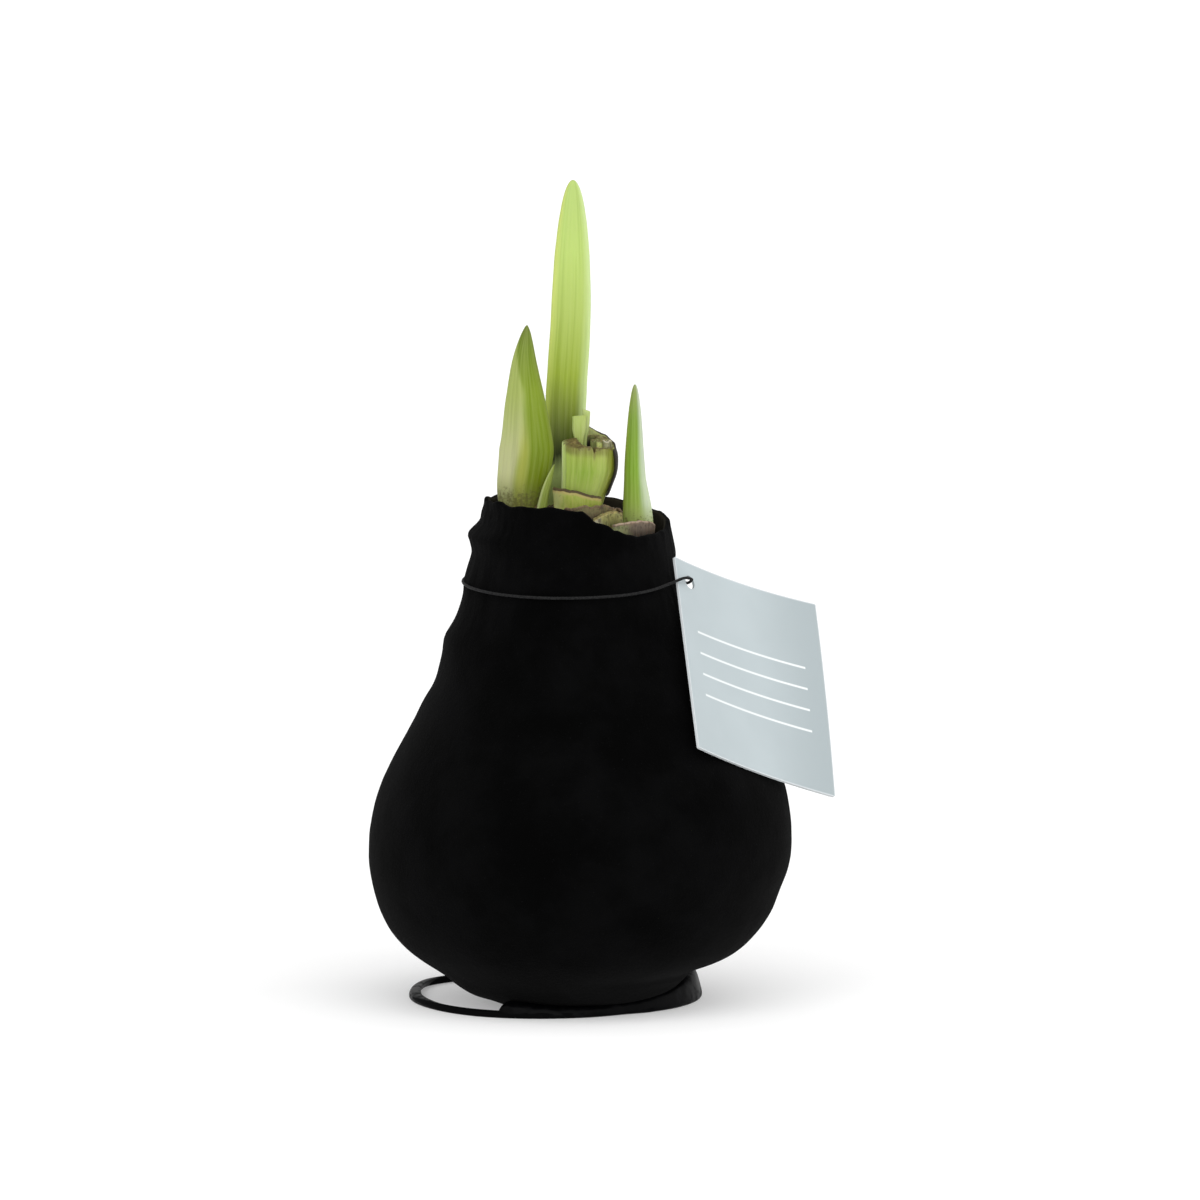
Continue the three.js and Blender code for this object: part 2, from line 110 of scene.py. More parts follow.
def spine(points, samples=160):  # evenly paced along its length
    raw = [curvePoint([Vector(p) for p in points], i / samples) for i in range(samples + 1)]
    run = [0]
    for p, q in zip(raw, raw[1:]):
        run.append(run[-1] + (q - p).length)

    def at(share):
        target = clamp(share) * run[-1]
        i = next(i for i in range(samples) if run[i + 1] >= target or i == samples - 1)
        return raw[i].lerp(raw[i + 1], (target - run[i]) / (run[i + 1] - run[i]))

    def along(share):
        return (at(share + 0.01) - at(share - 0.01)).normalized()

    return at, along, run[-1]


def fractal(point, size, seed=0):
    return noise.fractal(point / size + Vector((seed, seed * 1.7, -seed)), 1, 2, 3)


def outwardAt(angle):
    return Vector((math.cos(angle), math.sin(angle), 0))


def polar(point):
    return math.atan2(point.y, point.x), math.hypot(point.x, point.y)


# mesh helpers; each vertex keeps its place on its piece in "spot", for the materials

def wrapGrid(around, rows, place):
    bm = bmesh.new()
    spot = bm.verts.layers.float_vector.new("spot")
    bmesh.ops.create_grid(bm, x_segments=around, y_segments=rows, size=0.5)
    for vert in bm.verts:
        vert.co, vert[spot] = place(vert.co.x + 0.5, vert.co.y + 0.5)
    bmesh.ops.remove_doubles(bm, verts=bm.verts, dist=1e-4)
    bmesh.ops.dissolve_degenerate(bm, edges=bm.edges, dist=1e-5)
    bmesh.ops.edgeloop_fill(bm, edges=[edge for edge in bm.edges if edge.is_boundary])
    return bm


# a thin sheet with two faces, rounded to nothing at its sides and its top edge
sheetEdge = {"rowPower": 1.6, "sides": 0.04, "top": 0.015}


def sheetGrid(columns, rows, halfWall, place):
    def both(turn, rise):
        across = 2 * turn if turn < 0.5 else 2 - 2 * turn
        side = 1 if turn < 0.5 else -1
        rise = 1 - (1 - rise) ** sheetEdge["rowPower"]
        thin = roundEnd(min(across, 1 - across), sheetEdge["sides"]) * roundEnd(1 - rise, sheetEdge["top"])
        middle, outward, below = place(across, rise)
        return middle + outward * side * halfWall * thin, (across, below, 0.5 - 0.5 * side)

    return wrapGrid(2 * columns, rows, both)


def spinProfile(points, steps):
    bm = bmesh.new()
    bm.verts.layers.float_vector.new("spot")
    chain = [bm.verts.new((x, 0, z)) for x, z in points]
    edges = [bm.edges.new(pair) for pair in zip(chain, chain[1:])]
    bmesh.ops.spin(
        bm, geom=chain + edges, cent=(0, 0, 0), axis=(0, 0, 1), dvec=(0, 0, 0),
        angle=2 * math.pi, steps=steps, use_merge=True,
    )
    bmesh.ops.remove_doubles(bm, verts=bm.verts, dist=1e-4)
    return bm


def reshape(bm, rule):
    spot = bm.verts.layers.float_vector["spot"]
    for vert in bm.verts:
        vert.co, vert[spot] = rule(vert.co.copy())


def settle(name, data, node):
    piece = bpy.data.objects.new(name, data)
    scene.collection.objects.link(piece)
    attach(piece, "root")
    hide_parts(node)
    return piece


def finishPiece(name, bm, material, node, crease=70):
    bmesh.ops.recalc_face_normals(bm, faces=bm.faces)
    bmesh.ops.scale(bm, vec=(mm, mm, mm), verts=bm.verts)
    mesh = bpy.data.meshes.new(name)
    bm.to_mesh(mesh)
    bm.free()
    mesh.shade_smooth()
    mesh.set_sharp_from_angle(angle=math.radians(crease))
    mesh.materials.append(material)
    return settle(name, mesh, node)


def addStrand(name, route, radius, material, node, steps, sides=6):
    curve = bpy.data.curves.new(name, "CURVE")
    curve.dimensions = "3D"
    curve.bevel_depth = radius * mm
    curve.bevel_resolution = sides
    curve.use_fill_caps = True
    line = curve.splines.new("POLY")
    line.points.add(steps)
    for i, point in enumerate(line.points):
        point.co = (*(curvePoint(route, i / steps) * mm), 1)
    curve.materials.append(material)
    return settle(name, curve, node)


# material helpers; a colour of three numbers is what a screen shows when it is lit, one of four is linear

lit = 0.81  # the studio lights make a surface this much brighter than it is


def paint(shown):
    linear = [((value / 255 + 0.055) / 1.055) ** 2.4 if value > 10 else value / 3295 for value in shown]
    return (*[lit * value for value in linear], 1)


def newMaterial(name, sockets):
    material = bpy.data.materials.new(name)
    material.use_nodes = True
    shader = material.node_tree.nodes["Principled BSDF"]
    for socket, value in sockets.items():
        shader.inputs[socket].default_value = value
    return material, material.node_tree


def fleshMaterial(name, roughness, weight, depth):  # light goes a little way into green tissue
    return newMaterial(name, {
        "Roughness": roughness, "Specular IOR Level": 0.2, "Subsurface Weight": weight,
        "Subsurface Scale": depth, "Subsurface Radius": (0.7, 1.0, 0.25),
    })


def feed(tree, socket, value):
    if isinstance(value, bpy.types.NodeSocket):
        tree.links.new(value, socket)
    else:
        socket.default_value = paint(value) if isinstance(value, tuple) and len(value) == 3 else value


def mathNode(tree, operation, a, b=0.0, c=0.0):
    made = tree.nodes.new("ShaderNodeMath")
    made.operation = operation
    for socket, value in zip(made.inputs, (a, b, c)):
        feed(tree, socket, value)
    return made.outputs[0]


def times(tree, a, b):
    return mathNode(tree, "MULTIPLY", a, b)


def waver(tree, value, grain, amount):  # value moved to and fro by a grain
    return mathNode(tree, "MULTIPLY_ADD", grain, amount, mathNode(tree, "SUBTRACT", value, amount / 2))


def awayFrom(tree, value, middle):
    return mathNode(tree, "ABSOLUTE", mathNode(tree, "SUBTRACT", value, middle))


def blendColor(tree, mask, a, b):
    made = tree.nodes.new("ShaderNodeMix")
    made.data_type = "RGBA"
    feed(tree, made.inputs["Factor"], mask)
    feed(tree, made.inputs[6], a)
    feed(tree, made.inputs[7], b)
    return made.outputs[2]


def rangeMask(tree, value, low, high, start=0.0, end=1.0):
    made = tree.nodes.new("ShaderNodeMapRange")
    made.interpolation_type = "SMOOTHSTEP"
    given = {"Value": value, "From Min": low, "From Max": high, "To Min": start, "To Max": end}
    for name, number in given.items():
        feed(tree, made.inputs[name], number)
    return made.outputs["Result"]


# a layer is a mask and a colour, or a value, the range it fades in over, its share then, and a colour
def layers(tree, color, *coats):
    for value, *limits, over in coats:
        if limits:
            low, high, share = limits
            value = rangeMask(tree, value, low, high, 0.0, share)
        color = blendColor(tree, value, color, over)
    return color


def colorRamp(tree, value, stops):
    made = tree.nodes.new("ShaderNodeValToRGB")
    ramp = made.color_ramp
    while len(ramp.elements) < len(stops):
        ramp.elements.new(0.5)
    for element, (place, color) in zip(ramp.elements, stops):
        element.position = place
        element.color = paint(color)
    feed(tree, made.inputs[0], value)
    return made.outputs[0]


def stretch(tree, vector, scale):
    made = tree.nodes.new("ShaderNodeMapping")
    feed(tree, made.inputs["Vector"], vector)
    made.inputs["Scale"].default_value = scale
    return made.outputs[0]


def grainOf(tree, vector, scale, detail=3.0, rough=0.55):
    made = tree.nodes.new("ShaderNodeTexNoise")
    feed(tree, made.inputs["Vector"], vector)
    feed(tree, made.inputs["Scale"], scale)
    made.inputs["Detail"].default_value = detail
    made.inputs["Roughness"].default_value = rough
    return made.outputs["Fac"]


def objectPlace(tree):
    return tree.nodes.new("ShaderNodeTexCoord").outputs["Object"]


def spotPlace(tree):
    made = tree.nodes.new("ShaderNodeAttribute")
    made.attribute_name = "spot"
    return made.outputs["Vector"]


def splitVector(tree, vector):
    made = tree.nodes.new("ShaderNodeSeparateXYZ")
    tree.links.new(vector, made.inputs[0])
    return made.outputs


def dress(material, color, height, strength, distance, roughness=None):
    tree = material.node_tree
    shader = tree.nodes["Principled BSDF"]
    relief = tree.nodes.new("ShaderNodeBump")
    relief.inputs["Strength"].default_value = strength
    relief.inputs["Distance"].default_value = distance
    tree.links.new(height, relief.inputs["Height"])
    tree.links.new(relief.outputs[0], shader.inputs["Normal"])
    tree.links.new(color, shader.inputs["Base Color"])
    if roughness:
        tree.links.new(roughness, shader.inputs["Roughness"])
    return material


def startGroup(name, inputs, outputs):  # an input without a number is a vector
    group = bpy.data.node_groups.new(name, "ShaderNodeTree")
    for label, value in inputs.items():
        kind = "NodeSocketVector" if value is None else "NodeSocketFloat"
        socket = group.interface.new_socket(name=label, in_out="INPUT", socket_type=kind)
        if value is not None:
            socket.default_value = value
    for label in outputs:
        group.interface.new_socket(name=label, in_out="OUTPUT", socket_type="NodeSocketFloat")
    return group, group.nodes.new("NodeGroupInput").outputs, group.nodes.new("NodeGroupOutput").inputs


def useGroup(tree, group, **values):
    made = tree.nodes.new("ShaderNodeGroup")
    made.node_tree = group
    for label, value in values.items():
        feed(tree, made.inputs[label], value)
    return made.outputs


# fibres along a leaf or scale: a mask for colour and a height for relief
def makeFibres():
    group, given, out = startGroup("fibres", {"spot": None, "count": 30.0, "run": 1.5}, ["mask", "height"])
    across, rise, depth = splitVector(group, given["spot"])
    joined = group.nodes.new("ShaderNodeCombineXYZ")
    for socket, way, scale in zip(joined.inputs, (across, rise, depth), (given["count"], given["run"], 7.0)):
        feed(group, socket, times(group, way, scale))
    fine = grainOf(group, joined.outputs[0], 1.0, 4.0, 0.6)
    group.links.new(rangeMask(group, fine, 0.35, 0.68), out["mask"])
    group.links.new(fine, out["height"])
    return group


# brown scorch and specks where tissue was cut or has dried, falling off from an edge
def makeScorch():
    group, given, out = startGroup("scorch", {"place": None, "near": 0.0, "size": 900.0}, ["mask"])
    coarse = grainOf(group, given["place"], given["size"], 5.0, 0.65)
    reach = mathNode(group, "MULTIPLY_ADD", given["near"], 0.62, coarse)
    group.links.new(rangeMask(group, reach, 0.66, 0.86), out["mask"])
    return group


fibres = makeFibres()
scorch = makeScorch()
print("shared effects made")


# the uneven body, shared by the coat and the bulb inside it

body = {
    "outline": (
        (12, 0), (19.5, 1.5), (27.5, 5.7), (39, 14.4), (45.9, 27), (47.3, 36),
        (45, 49.7), (36.5, 65.6), (26.4, 87.2), (22.5, 102.4), (21.6, 112),
    ),
    # height, spread and amount of each fold of the dry skins under the coat
    "leftFolds": (
        (7, 2, -0.4), (9, 3, -0.6), (18, 5, 0.35), (31, 6, -0.58), (45, 8, 0.29), (58, 8, 0.71),
        (67, 5, 0.19), (73.5, 3.5, -0.76), (83.3, 3, 0.97), (90, 4, -0.13), (95.4, 1.8, 0.35), (97.5, 2, 0.2),
        (102, 2, -0.26), (104.2, 1.2, 0.4), (106.4, 1.6, 1.35), (109.6, 1.5, -0.75), (113.5, 3, -1.8),
    ),
    "rightFolds": (
        (6.3, 2.3, -2.05), (8.5, 1.35, -2), (9.4, 2.1, -1.2), (12.4, 2.5, 0.1), (20, 6, 1.04), (35, 8, 0.73),
        (52, 10, 0.28), (70, 12, 0.15), (90, 8, 0.15), (102.6, 3.4, 1.1), (107, 2.5, 0.42), (110.8, 2, 0.45),
    ),
    "rimHeights": (108.4, 110.1, 111.2, 113.2, 113.6, 113.4, 113.4, 114.9, 114.4, 113.9, 108.4, 106.9),
    "rimLevel": 112,
    "rimRipple": ((0.3, 9, 0), (0.2, 17, 1)),  # size, count and phase of each ripple of the rim
    "lean": (1.1, 13),  # the most it leans to the right, and the height for each millimetre of that
    "leanBulge": (54, 22, 2.4),
    "flutes": (0.35, 5, 0.05, 94, 20),  # depth, count, turn with height, middle height and spread
    "core": 15,  # nothing is uneven at the axis, and everything is from this radius on
    "topFrom": 92,  # the rim's waves start at this height
}
rimWave = [Vector((i / 12, height)) for i, height in enumerate((*body["rimHeights"], body["rimHeights"][0]))]


def rimAt(angle):
    turn = (angle / math.tau + 1) % 1
    ripple = sum(size * math.sin(count * angle + phase) for size, count, phase in body["rimRipple"])
    return curvePoint(rimWave, turn, even=True).y + ripple


def leanAt(height):
    (most, pitch), (middle, spread, amount) = body["lean"], body["leanBulge"]
    return min(most, height / pitch) + amount * bump(height, middle, spread)


def swellAt(angle, height):
    depth, count, turn, middle, spread = body["flutes"]
    swell = depth * math.sin(count * angle + turn * height) * bump(height, middle, spread)
    for side, folds in ((-1, body["leftFolds"]), (1, body["rightFolds"])):
        share = max(0, side * math.cos(angle)) ** 1.5
        if share:
            swell += share * sum(amount * bump(height, middle, spread) for middle, spread, amount in folds)
    return swell


def unevenPoint(point, extra=0.0):
    angle, radius = polar(point)
    outward = min(1, radius / body["core"])
    topward = smoothStep(point.z, body["topFrom"], body["rimLevel"])
    height = point.z + (rimAt(angle) - body["rimLevel"]) * topward * outward
    swollen = radius + (swellAt(angle, height) + extra) * outward
    return Vector((leanAt(height) + swollen * math.cos(angle), swollen * math.sin(angle), height))


def outlineAt(rows, inset, top=1.0):
    knots = [Vector(pair) for pair in body["outline"]]
    points = []
    for row in range(rows + 1):
        share = top * row / rows
        at = curvePoint(knots, share, even=True)
        ahead = curvePoint(knots, min(1, share + 0.002), even=True)
        behind = curvePoint(knots, max(0, share - 0.002), even=True)
        along = (ahead - behind).normalized()
        points.append((at.x - along.y * inset, at.y + along.x * inset))
    return points


# velvet coat

coat = {
    "wall": 1.5,
    "around": 300,
    "rows": 180,
    "innerRows": 60,
    "lump": 0.14,  # dents and swells of the dipped wax
    "lumpSize": 9.0,
    "crease": 0.16,  # upright creases of the dry skins under the wax, near the neck
    "neck": (70, 100),  # heights between which the creases begin
    "ragged": 0.22,  # unevenness of the rim
    "rimBand": (106, 111),  # heights between which the rim's nicks begin
    "heel": ((-17.2, 3), (-9, 7), 0.4),  # where the underside is lifted inside the ring, x and y with spreads
    "rimNicks": (
        (-76, 3, -0.7), (-84, 2.5, 0.35), (-64, 2, -0.5), (-52, 3, 0.25), (-108, 12, -0.7), (-133, 11, -0.7),
        (-152, 10, -1.1), (-172, 9, -0.2),
    ),
}


def velvetMaterial():
    material, tree = newMaterial("flockedWax", {
        "Roughness": 1.0, "Sheen Weight": 0.015, "Sheen Roughness": 0.5, "Specular IOR Level": 0.01,
    })
    place = objectPlace(tree)
    inside = splitVector(tree, spotPlace(tree))[2]
    fuzz = grainOf(tree, place, 2600.0, 2.0, 0.7)
    patch = grainOf(tree, place, 55.0, 4.0, 0.6)
    color = layers(
        tree, (0.0008, 0.0008, 0.0008, 1), (patch, 0.35, 0.7, 1, (0.0019, 0.0019, 0.002, 1)),
        (fuzz, 0.64, 0.8, 0.5, (0.008, 0.008, 0.009, 1)), (inside, (46, 43, 34)),
    )
    tuft = mathNode(tree, "MULTIPLY_ADD", grainOf(tree, place, 900.0, 3.0, 0.6), 1.2, fuzz)
    return dress(material, color, tuft, 0.5, 0.0002)


def makeCoat():
    wall, rim = coat["wall"], Vector(body["outline"][-1])
    middle = rim.x - wall / 2
    lip = [
        (middle + wall / 2 * math.cos(turn), rim.y + wall / 2 * math.sin(turn))
        for turn in (math.pi * i / 10 for i in range(1, 10))
    ]
    outside = outlineAt(coat["rows"], 0)
    inside = outlineAt(coat["innerRows"], wall)[::-1]
    floor = [(0, 0), (3, 0), (6, 0), (9, 0)]
    bm = spinProfile([*floor, *outside, *lip, *inside, (5, wall), (0, wall)], coat["around"])

    def rule(point):
        angle, radius = polar(point)
        degrees = math.degrees(angle)
        around = 8 * outwardAt(angle)
        high = smoothStep(point.z, *coat["neck"])
        lumps = coat["lump"] * fractal(point, coat["lumpSize"]) * smoothStep(point.z, 0.5, 6)
        creases = coat["crease"] * fractal(around * 3 + up * point.z * 0.25, 2.2, 5) * high
        moved = unevenPoint(point, lumps + creases)
        nicks = sum(amount * bump(degrees, bearing, spread) for bearing, spread, amount in coat["rimNicks"])
        heelX, heelY, lift = coat["heel"]
        moved.z += lift * bump(moved.x, *heelX) * bump(moved.y, *heelY) * (1 - smoothStep(point.z, 1.5, 5))
        moved.z += (nicks + coat["ragged"] * fractal(around, 1.6, 3)) * smoothStep(point.z, *coat["rimBand"])
        bare = smoothStep(rim.x - radius, 0.6 * wall, 0.95 * wall) if point.z > 100 else 0
        return moved, (angle / math.tau + 0.5, point.z / rim.y, bare)

    reshape(bm, rule)
    return finishPiece("velvetCoat", bm, velvetMaterial(), "velvet_coat", crease=80)


makeCoat()
print("coat made")


# bare nose and flesh of the bulb, inside the coat

bulb = {
    "around": 180,
    "gap": 0.3,
    "nose": (
        (18.4, 107.2), (17.2, 106.7), (16.6, 107.8), (14.6, 108.2), (14, 109.4),
        (11.6, 109.8), (10.8, 111), (6, 111.6), (0, 111.8),
    ),
    "noseRows": 90,
    "ringPitch": 1.15,  # between the edges of the dry skins
    "ringHeight": 0.5,
    "ringWander": 0.9,
    "rough": 0.25,
}


def bulbMaterial():
    material, tree = newMaterial("bulbSkin", {"Roughness": 0.78, "Specular IOR Level": 0.3})
    place = objectPlace(tree)
    streaks = useGroup(tree, fibres, spot=spotPlace(tree), count=26.0, run=26.0)
    patch = grainOf(tree, place, 210.0, 5.0, 0.65)
    dirt = grainOf(tree, place, 480.0, 4.0, 0.7)
    color = layers(
        tree, (50, 38, 24), (streaks["mask"], (104, 86, 56)),
        (patch, 0.5, 0.66, 1, (112, 112, 62)), (dirt, 0.5, 0.72, 1, (30, 24, 16)),
    )
    return dress(material, color, mathNode(tree, "ADD", streaks["height"], dirt), 0.6, 0.0004)


def makeBulb():
    inset = coat["wall"] + bulb["gap"]
    flank = outlineAt(30, inset, 0.97)
    crown = [Vector(pair) for pair in bulb["nose"]]
    nose = [tuple(curvePoint(crown, i / bulb["noseRows"])) for i in range(bulb["noseRows"] + 1)]
    bm = spinProfile([(0, inset), (6, inset), *flank[:-1], *nose[:-1], (0, crown[-1].y)], bulb["around"])

    def rule(point):
        angle, radius = polar(point)
        onNose = smoothStep(point.z, 105.5, 107) * (1 - smoothStep(radius, 17.4, 18.6))
        wander = bulb["ringWander"] * fractal(outwardAt(angle) * 4, 2.5, 2)
        phase = (radius + wander) / bulb["ringPitch"] % 1
        ridge = bulb["ringHeight"] * (phase ** 3) * (0.6 + fractal(point, 3, 7))
        moved = unevenPoint(point)
        moved.z += (ridge + bulb["rough"] * fractal(point, 1.4)) * onNose
        return moved, (angle / math.tau + 0.5, radius / 20, 0)

    reshape(bm, rule)
    return finishPiece("bulbNose", bm, bulbMaterial(), "bulb")


makeBulb()
print("bulb made")


# wire ring with its arm

wire = {
    "radius": 0.85,
    "rest": 0.86,
    "ringRadius": 32.05,
    "ringX": -2.85,
    "ringY": 8.8,
    "spike": ((9, 7, 33), (16, 12.5, 22), (22.5, 17.6, 12.8)),
    "arm": ((23, 31.3, 8), (10, 31, 5.7), (-2, 30.6, 4), (-14, 30.5, 2.6), (-28, 31.2, 1.3)),
    "bearings": range(-45, -371, -15),
    "tuck": 0.7,  # the end of the ring tucks in under the arm
    "steps": 260,
    # bearing, spread in degrees and amount of each place where the ring is out of round
    "bends": ((-117, 32, 2.4), (-58, 14, -1.2), (-5, 15, 0.2), (146, 16, 1.5)),
}


def onRing(degrees, radius, height):
    angle = math.radians(degrees)
    for bearing, spread, amount in wire["bends"]:
        radius += amount * bump((degrees - bearing + 180) % 360, 180, spread)
    x, y = wire["ringX"] + radius * math.cos(angle), wire["ringY"] + radius * math.sin(angle)
    return Vector((x, y, height))


def wireMaterial():
    material, tree = newMaterial("blackWire", {"Roughness": 0.8, "Specular IOR Level": 0.02})
    place = objectPlace(tree)
    worn = rangeMask(tree, grainOf(tree, place, 900.0, 4.0, 0.7), 0.6, 0.78)
    color = blendColor(tree, worn, (0.002, 0.002, 0.0022, 1), (0.007, 0.007, 0.0072, 1))
    roughness = rangeMask(tree, worn, 0, 1, 0.65, 0.85)
    return dress(material, color, grainOf(tree, place, 1500.0), 0.25, 0.0001, roughness)


def makeWire():
    route = [Vector(point) for point in wire["spike"]]
    route += [onRing(*point) for point in wire["arm"]]
    for degrees in wire["bearings"]:
        radius = wire["ringRadius"] - wire["tuck"] * smoothStep(-degrees, 310, 350)
        route.append(onRing(degrees, radius, wire["rest"]))
    black = wireMaterial()
    return addStrand("wireStand", route, wire["radius"], black, "wire_stand", wire["steps"])


makeWire()


# wax that ran down on to the wire: a web along the arm and under the front of the coat, and a dab at
# the ring's left end; each row is bearing on the ring, radius from its middle, bottom, top, half thickness

waxRuns = {
    "waxWeb": (
        (25, 30.6, 6.9, 8.7, 0.7), (14, 30.6, 2.4, 8.3, 1.3), (4, 30.8, 0.3, 7, 1.7),
        (-6, 30.8, 0.08, 6.3, 1.8), (-17, 30.8, 0.06, 5.8, 1.8), (-28, 30.9, 0.05, 5, 1.75),
        (-40, 31.1, 0.05, 4.1, 1.7), (-52, 31.4, 0.04, 3.2, 1.7), (-62, 31.2, 0.03, 2.8, 1.8),
        (-72, 31, 0.02, 2.6, 2), (-82, 30.7, 0.02, 2.6, 2.3), (-92, 30.5, 0.02, 2.8, 2.5),
        (-99, 30.3, 0.02, 3.2, 2.6), (-105, 30.2, 0.02, 3.5, 2.8), (-109.7, 30.3, 0.04, 3.4, 2.6),
        (-111.8, 31.8, 0.1, 1.6, 0.75),
    ),
    "waxDab": (
        (143, 32, 0.1, 1.6, 0.75), (157, 31.9, 0.06, 1.8, 1), (169, 31.75, 0.05, 1.9, 1.25),
        (181, 31.6, 0.05, 1.95, 1.4), (192, 31.75, 0.05, 1.9, 1.25), (204, 31.9, 0.06, 1.8, 1),
        (219, 32, 0.1, 1.6, 0.75),
    ),
}
waxMesh = {"around": 40, "rowsPerStep": 12, "drip": 0.05, "waist": 0.1, "slant": 0.27, "boxy": 0.7}


def waxMaterial():
    material, tree = newMaterial("glossyWax", {"Roughness": 0.4, "Specular IOR Level": 0.04})
    place = objectPlace(tree)
    bloom = rangeMask(tree, grainOf(tree, place, 320.0, 4.0, 0.6), 0.45, 0.7)
    color = blendColor(tree, bloom, (0.001, 0.001, 0.0012, 1), (0.003, 0.003, 0.0034, 1))
    roughness = rangeMask(tree, bloom, 0, 1, 0.35, 0.6)
    return dress(material, color, grainOf(tree, place, 420.0), 0.2, 0.0003, roughness)


def makeWax(name, run, material):
    knots = [Vector((degrees, radius)) for degrees, radius, *_ in run]
    sizes = [Vector(row[2:]) for row in run]

    def place(turn, rise):
        degrees, radius = curvePoint(knots, rise, even=True)
        bottom, top, thick = curvePoint(sizes, rise, even=True)
        angle = turn * math.tau
        swell = 1 + waxMesh["drip"] * fractal(Vector((degrees / 4, math.cos(angle), math.sin(angle))), 1.2, 4)
        pinch = 1 - waxMesh["waist"] * math.sin(angle) ** 2
        circle = math.cos(angle), math.sin(angle)
        cosine, sine = (math.copysign(abs(value) ** waxMesh["boxy"], value) for value in circle)
        half = (top - bottom) / 2
        leaned = radius + sine * thick * swell * pinch + waxMesh["slant"] * half * cosine
        return onRing(degrees, leaned, (bottom + top) / 2 - half * cosine), (turn, rise, 0)

    bm = wrapGrid(waxMesh["around"], waxMesh["rowsPerStep"] * (len(run) - 1), place)
    return finishPiece(name, bm, material, "velvet_coat", crease=80)


glossyWax = waxMaterial()
for waxName, waxRun in waxRuns.items():
    makeWax(waxName, waxRun, glossyWax)
print("wire and wax made")


# leaves

# what most leaves share; each one below changes what it needs
leafCommon = {"twist": 0, "tipShift": 0, "footShift": 0, "speck": 0.1, "footTop": 0.34, "flare": 0, "warm": 0}
leafKinds = {
    "leafTall": {
        **leafCommon, "node": "leaf_tall", "slot": "leaf_light",
        "spine": (
            (-1.4, 6.2, 104), (-1, 6.4, 120), (-0.5, 6.8, 137), (0.45, 7.4, 153), (0.85, 7.9, 170),
            (1.12, 8.3, 185.4),
        ),
        "halfWidth": 4.6, "widest": 0.46, "tipPower": 2.8, "tipRound": 0.5, "baseShare": 0.86,
        "thickness": 2.6, "cup": -0.9, "bearing": 4, "twist": 6, "ribs": 9,
        # the stops: the lowest, pale part and the foot colour below are made brighter as painted light
        # against the shade deep in the coat's opening; then a dark band of painted shadow where the stub
        # shades the leaf; above it the leaf is darker lower down, partly its own colour and partly painted
        # shade
        "stops": (
            (0.0, (150, 160, 100)), (0.18, (200, 220, 140)), (0.235, (38, 46, 10)), (0.28, (76, 88, 20)),
            (0.36, (112, 127, 34)), (0.46, (142, 162, 42)),
            (0.62, (164, 184, 88)), (0.8, (176, 200, 106)), (1.0, (172, 196, 110)),
        ),
        "leftLow": (176, 190, 84), "leftHigh": (190, 202, 108), "leftTo": 0.1,
        "right": (196, 216, 154), "rightFrom": 0.72,
        "foot": (150, 166, 96), "footTop": 0.22,
    },
    "leafLeft": {
        **leafCommon, "node": "leaf_left", "slot": "leaf_deep",
        "spine": (
            (-10.5, -5, 104), (-10.25, -5.2, 116), (-9.1, -5.6, 126), (-9.45, -5.9, 137), (-9.7, -6, 146),
            (-9.15, -6, 154.3),
        ),
        "halfWidth": 6.2, "widest": 0.44, "tipPower": 1, "tipRound": 0.66, "baseShare": 0.45,
        "thickness": 2.6, "cup": 1.3, "bearing": 10, "twist": -6, "ribs": 7,
        "stops": (
            (0.0, (96, 104, 30)), (0.2, (106, 118, 10)), (0.45, (107, 128, 6)),
            (0.7, (116, 138, 16)), (0.9, (104, 124, 30)), (1.0, (98, 112, 38)),
        ),
        "leftLow": (186, 186, 142), "leftHigh": (160, 172, 96), "leftTo": 0.43,
        "right": (104, 118, 12), "rightFrom": 0.8,
        "tipShift": 0.45, "footShift": 0.13, "speck": 0.5, "foot": (106, 112, 52), "warm": 0.75,
    },
    "leafRight": {
        **leafCommon, "node": "leaf_right", "slot": "leaf_deep",
        "spine": (
            (15.2, -4.4, 101.6), (15.1, -4.5, 114), (14.93, -4.7, 124), (14.98, -4.9, 132),
            (15.05, -5, 140.8),
        ),
        "halfWidth": 3.06, "widest": 0.14, "tipPower": 1, "tipRound": 0.47, "baseShare": 0.95,
        "thickness": 1.9, "cup": 0.7, "bearing": -6, "twist": 8, "ribs": 5,
        "stops": (
            (0.0, (118, 134, 60)), (0.25, (136, 158, 66)), (0.5, (117, 154, 36)),
            (0.8, (112, 144, 44)), (0.95, (130, 146, 76)), (1.0, (140, 150, 100)),
        ),
        "leftLow": (132, 150, 56), "leftHigh": (132, 150, 50), "leftTo": 0.1,
        "right": (192, 204, 180), "rightFrom": 0.62,
        "speck": 0.3, "foot": (146, 158, 92), "flare": 1,
    },
    "leafSliver": {
        **leafCommon, "node": "leaf_sliver", "slot": "leaf_pale",
        "spine": ((-7.2, -6.9, 105.5), (-5.8, -6.9, 113.2), (-4.8, -6.9, 117.7), (-3, -6.7, 123)),
        "halfWidth": 1.15, "widest": 0.4, "tipPower": 1.4, "tipRound": 0.6, "baseShare": 0.9,
        "thickness": 1.1, "cup": 0, "bearing": 0, "ribs": 3,
        "stops": (
            (0.0, (126, 134, 62)), (0.4, (130, 144, 60)), (0.7, (122, 138, 48)), (1.0, (118, 134, 48)),
        ),
        "leftLow": (176, 186, 130), "leftHigh": (170, 182, 116), "leftTo": 0.24,
        "right": (120, 134, 54), "rightFrom": 0.66,
        "foot": (140, 148, 90),
    },
}
leafMesh = {"around": 64, "rows": 110, "rowPower": 1.5, "rib": 0.045, "frayed": 0.06}


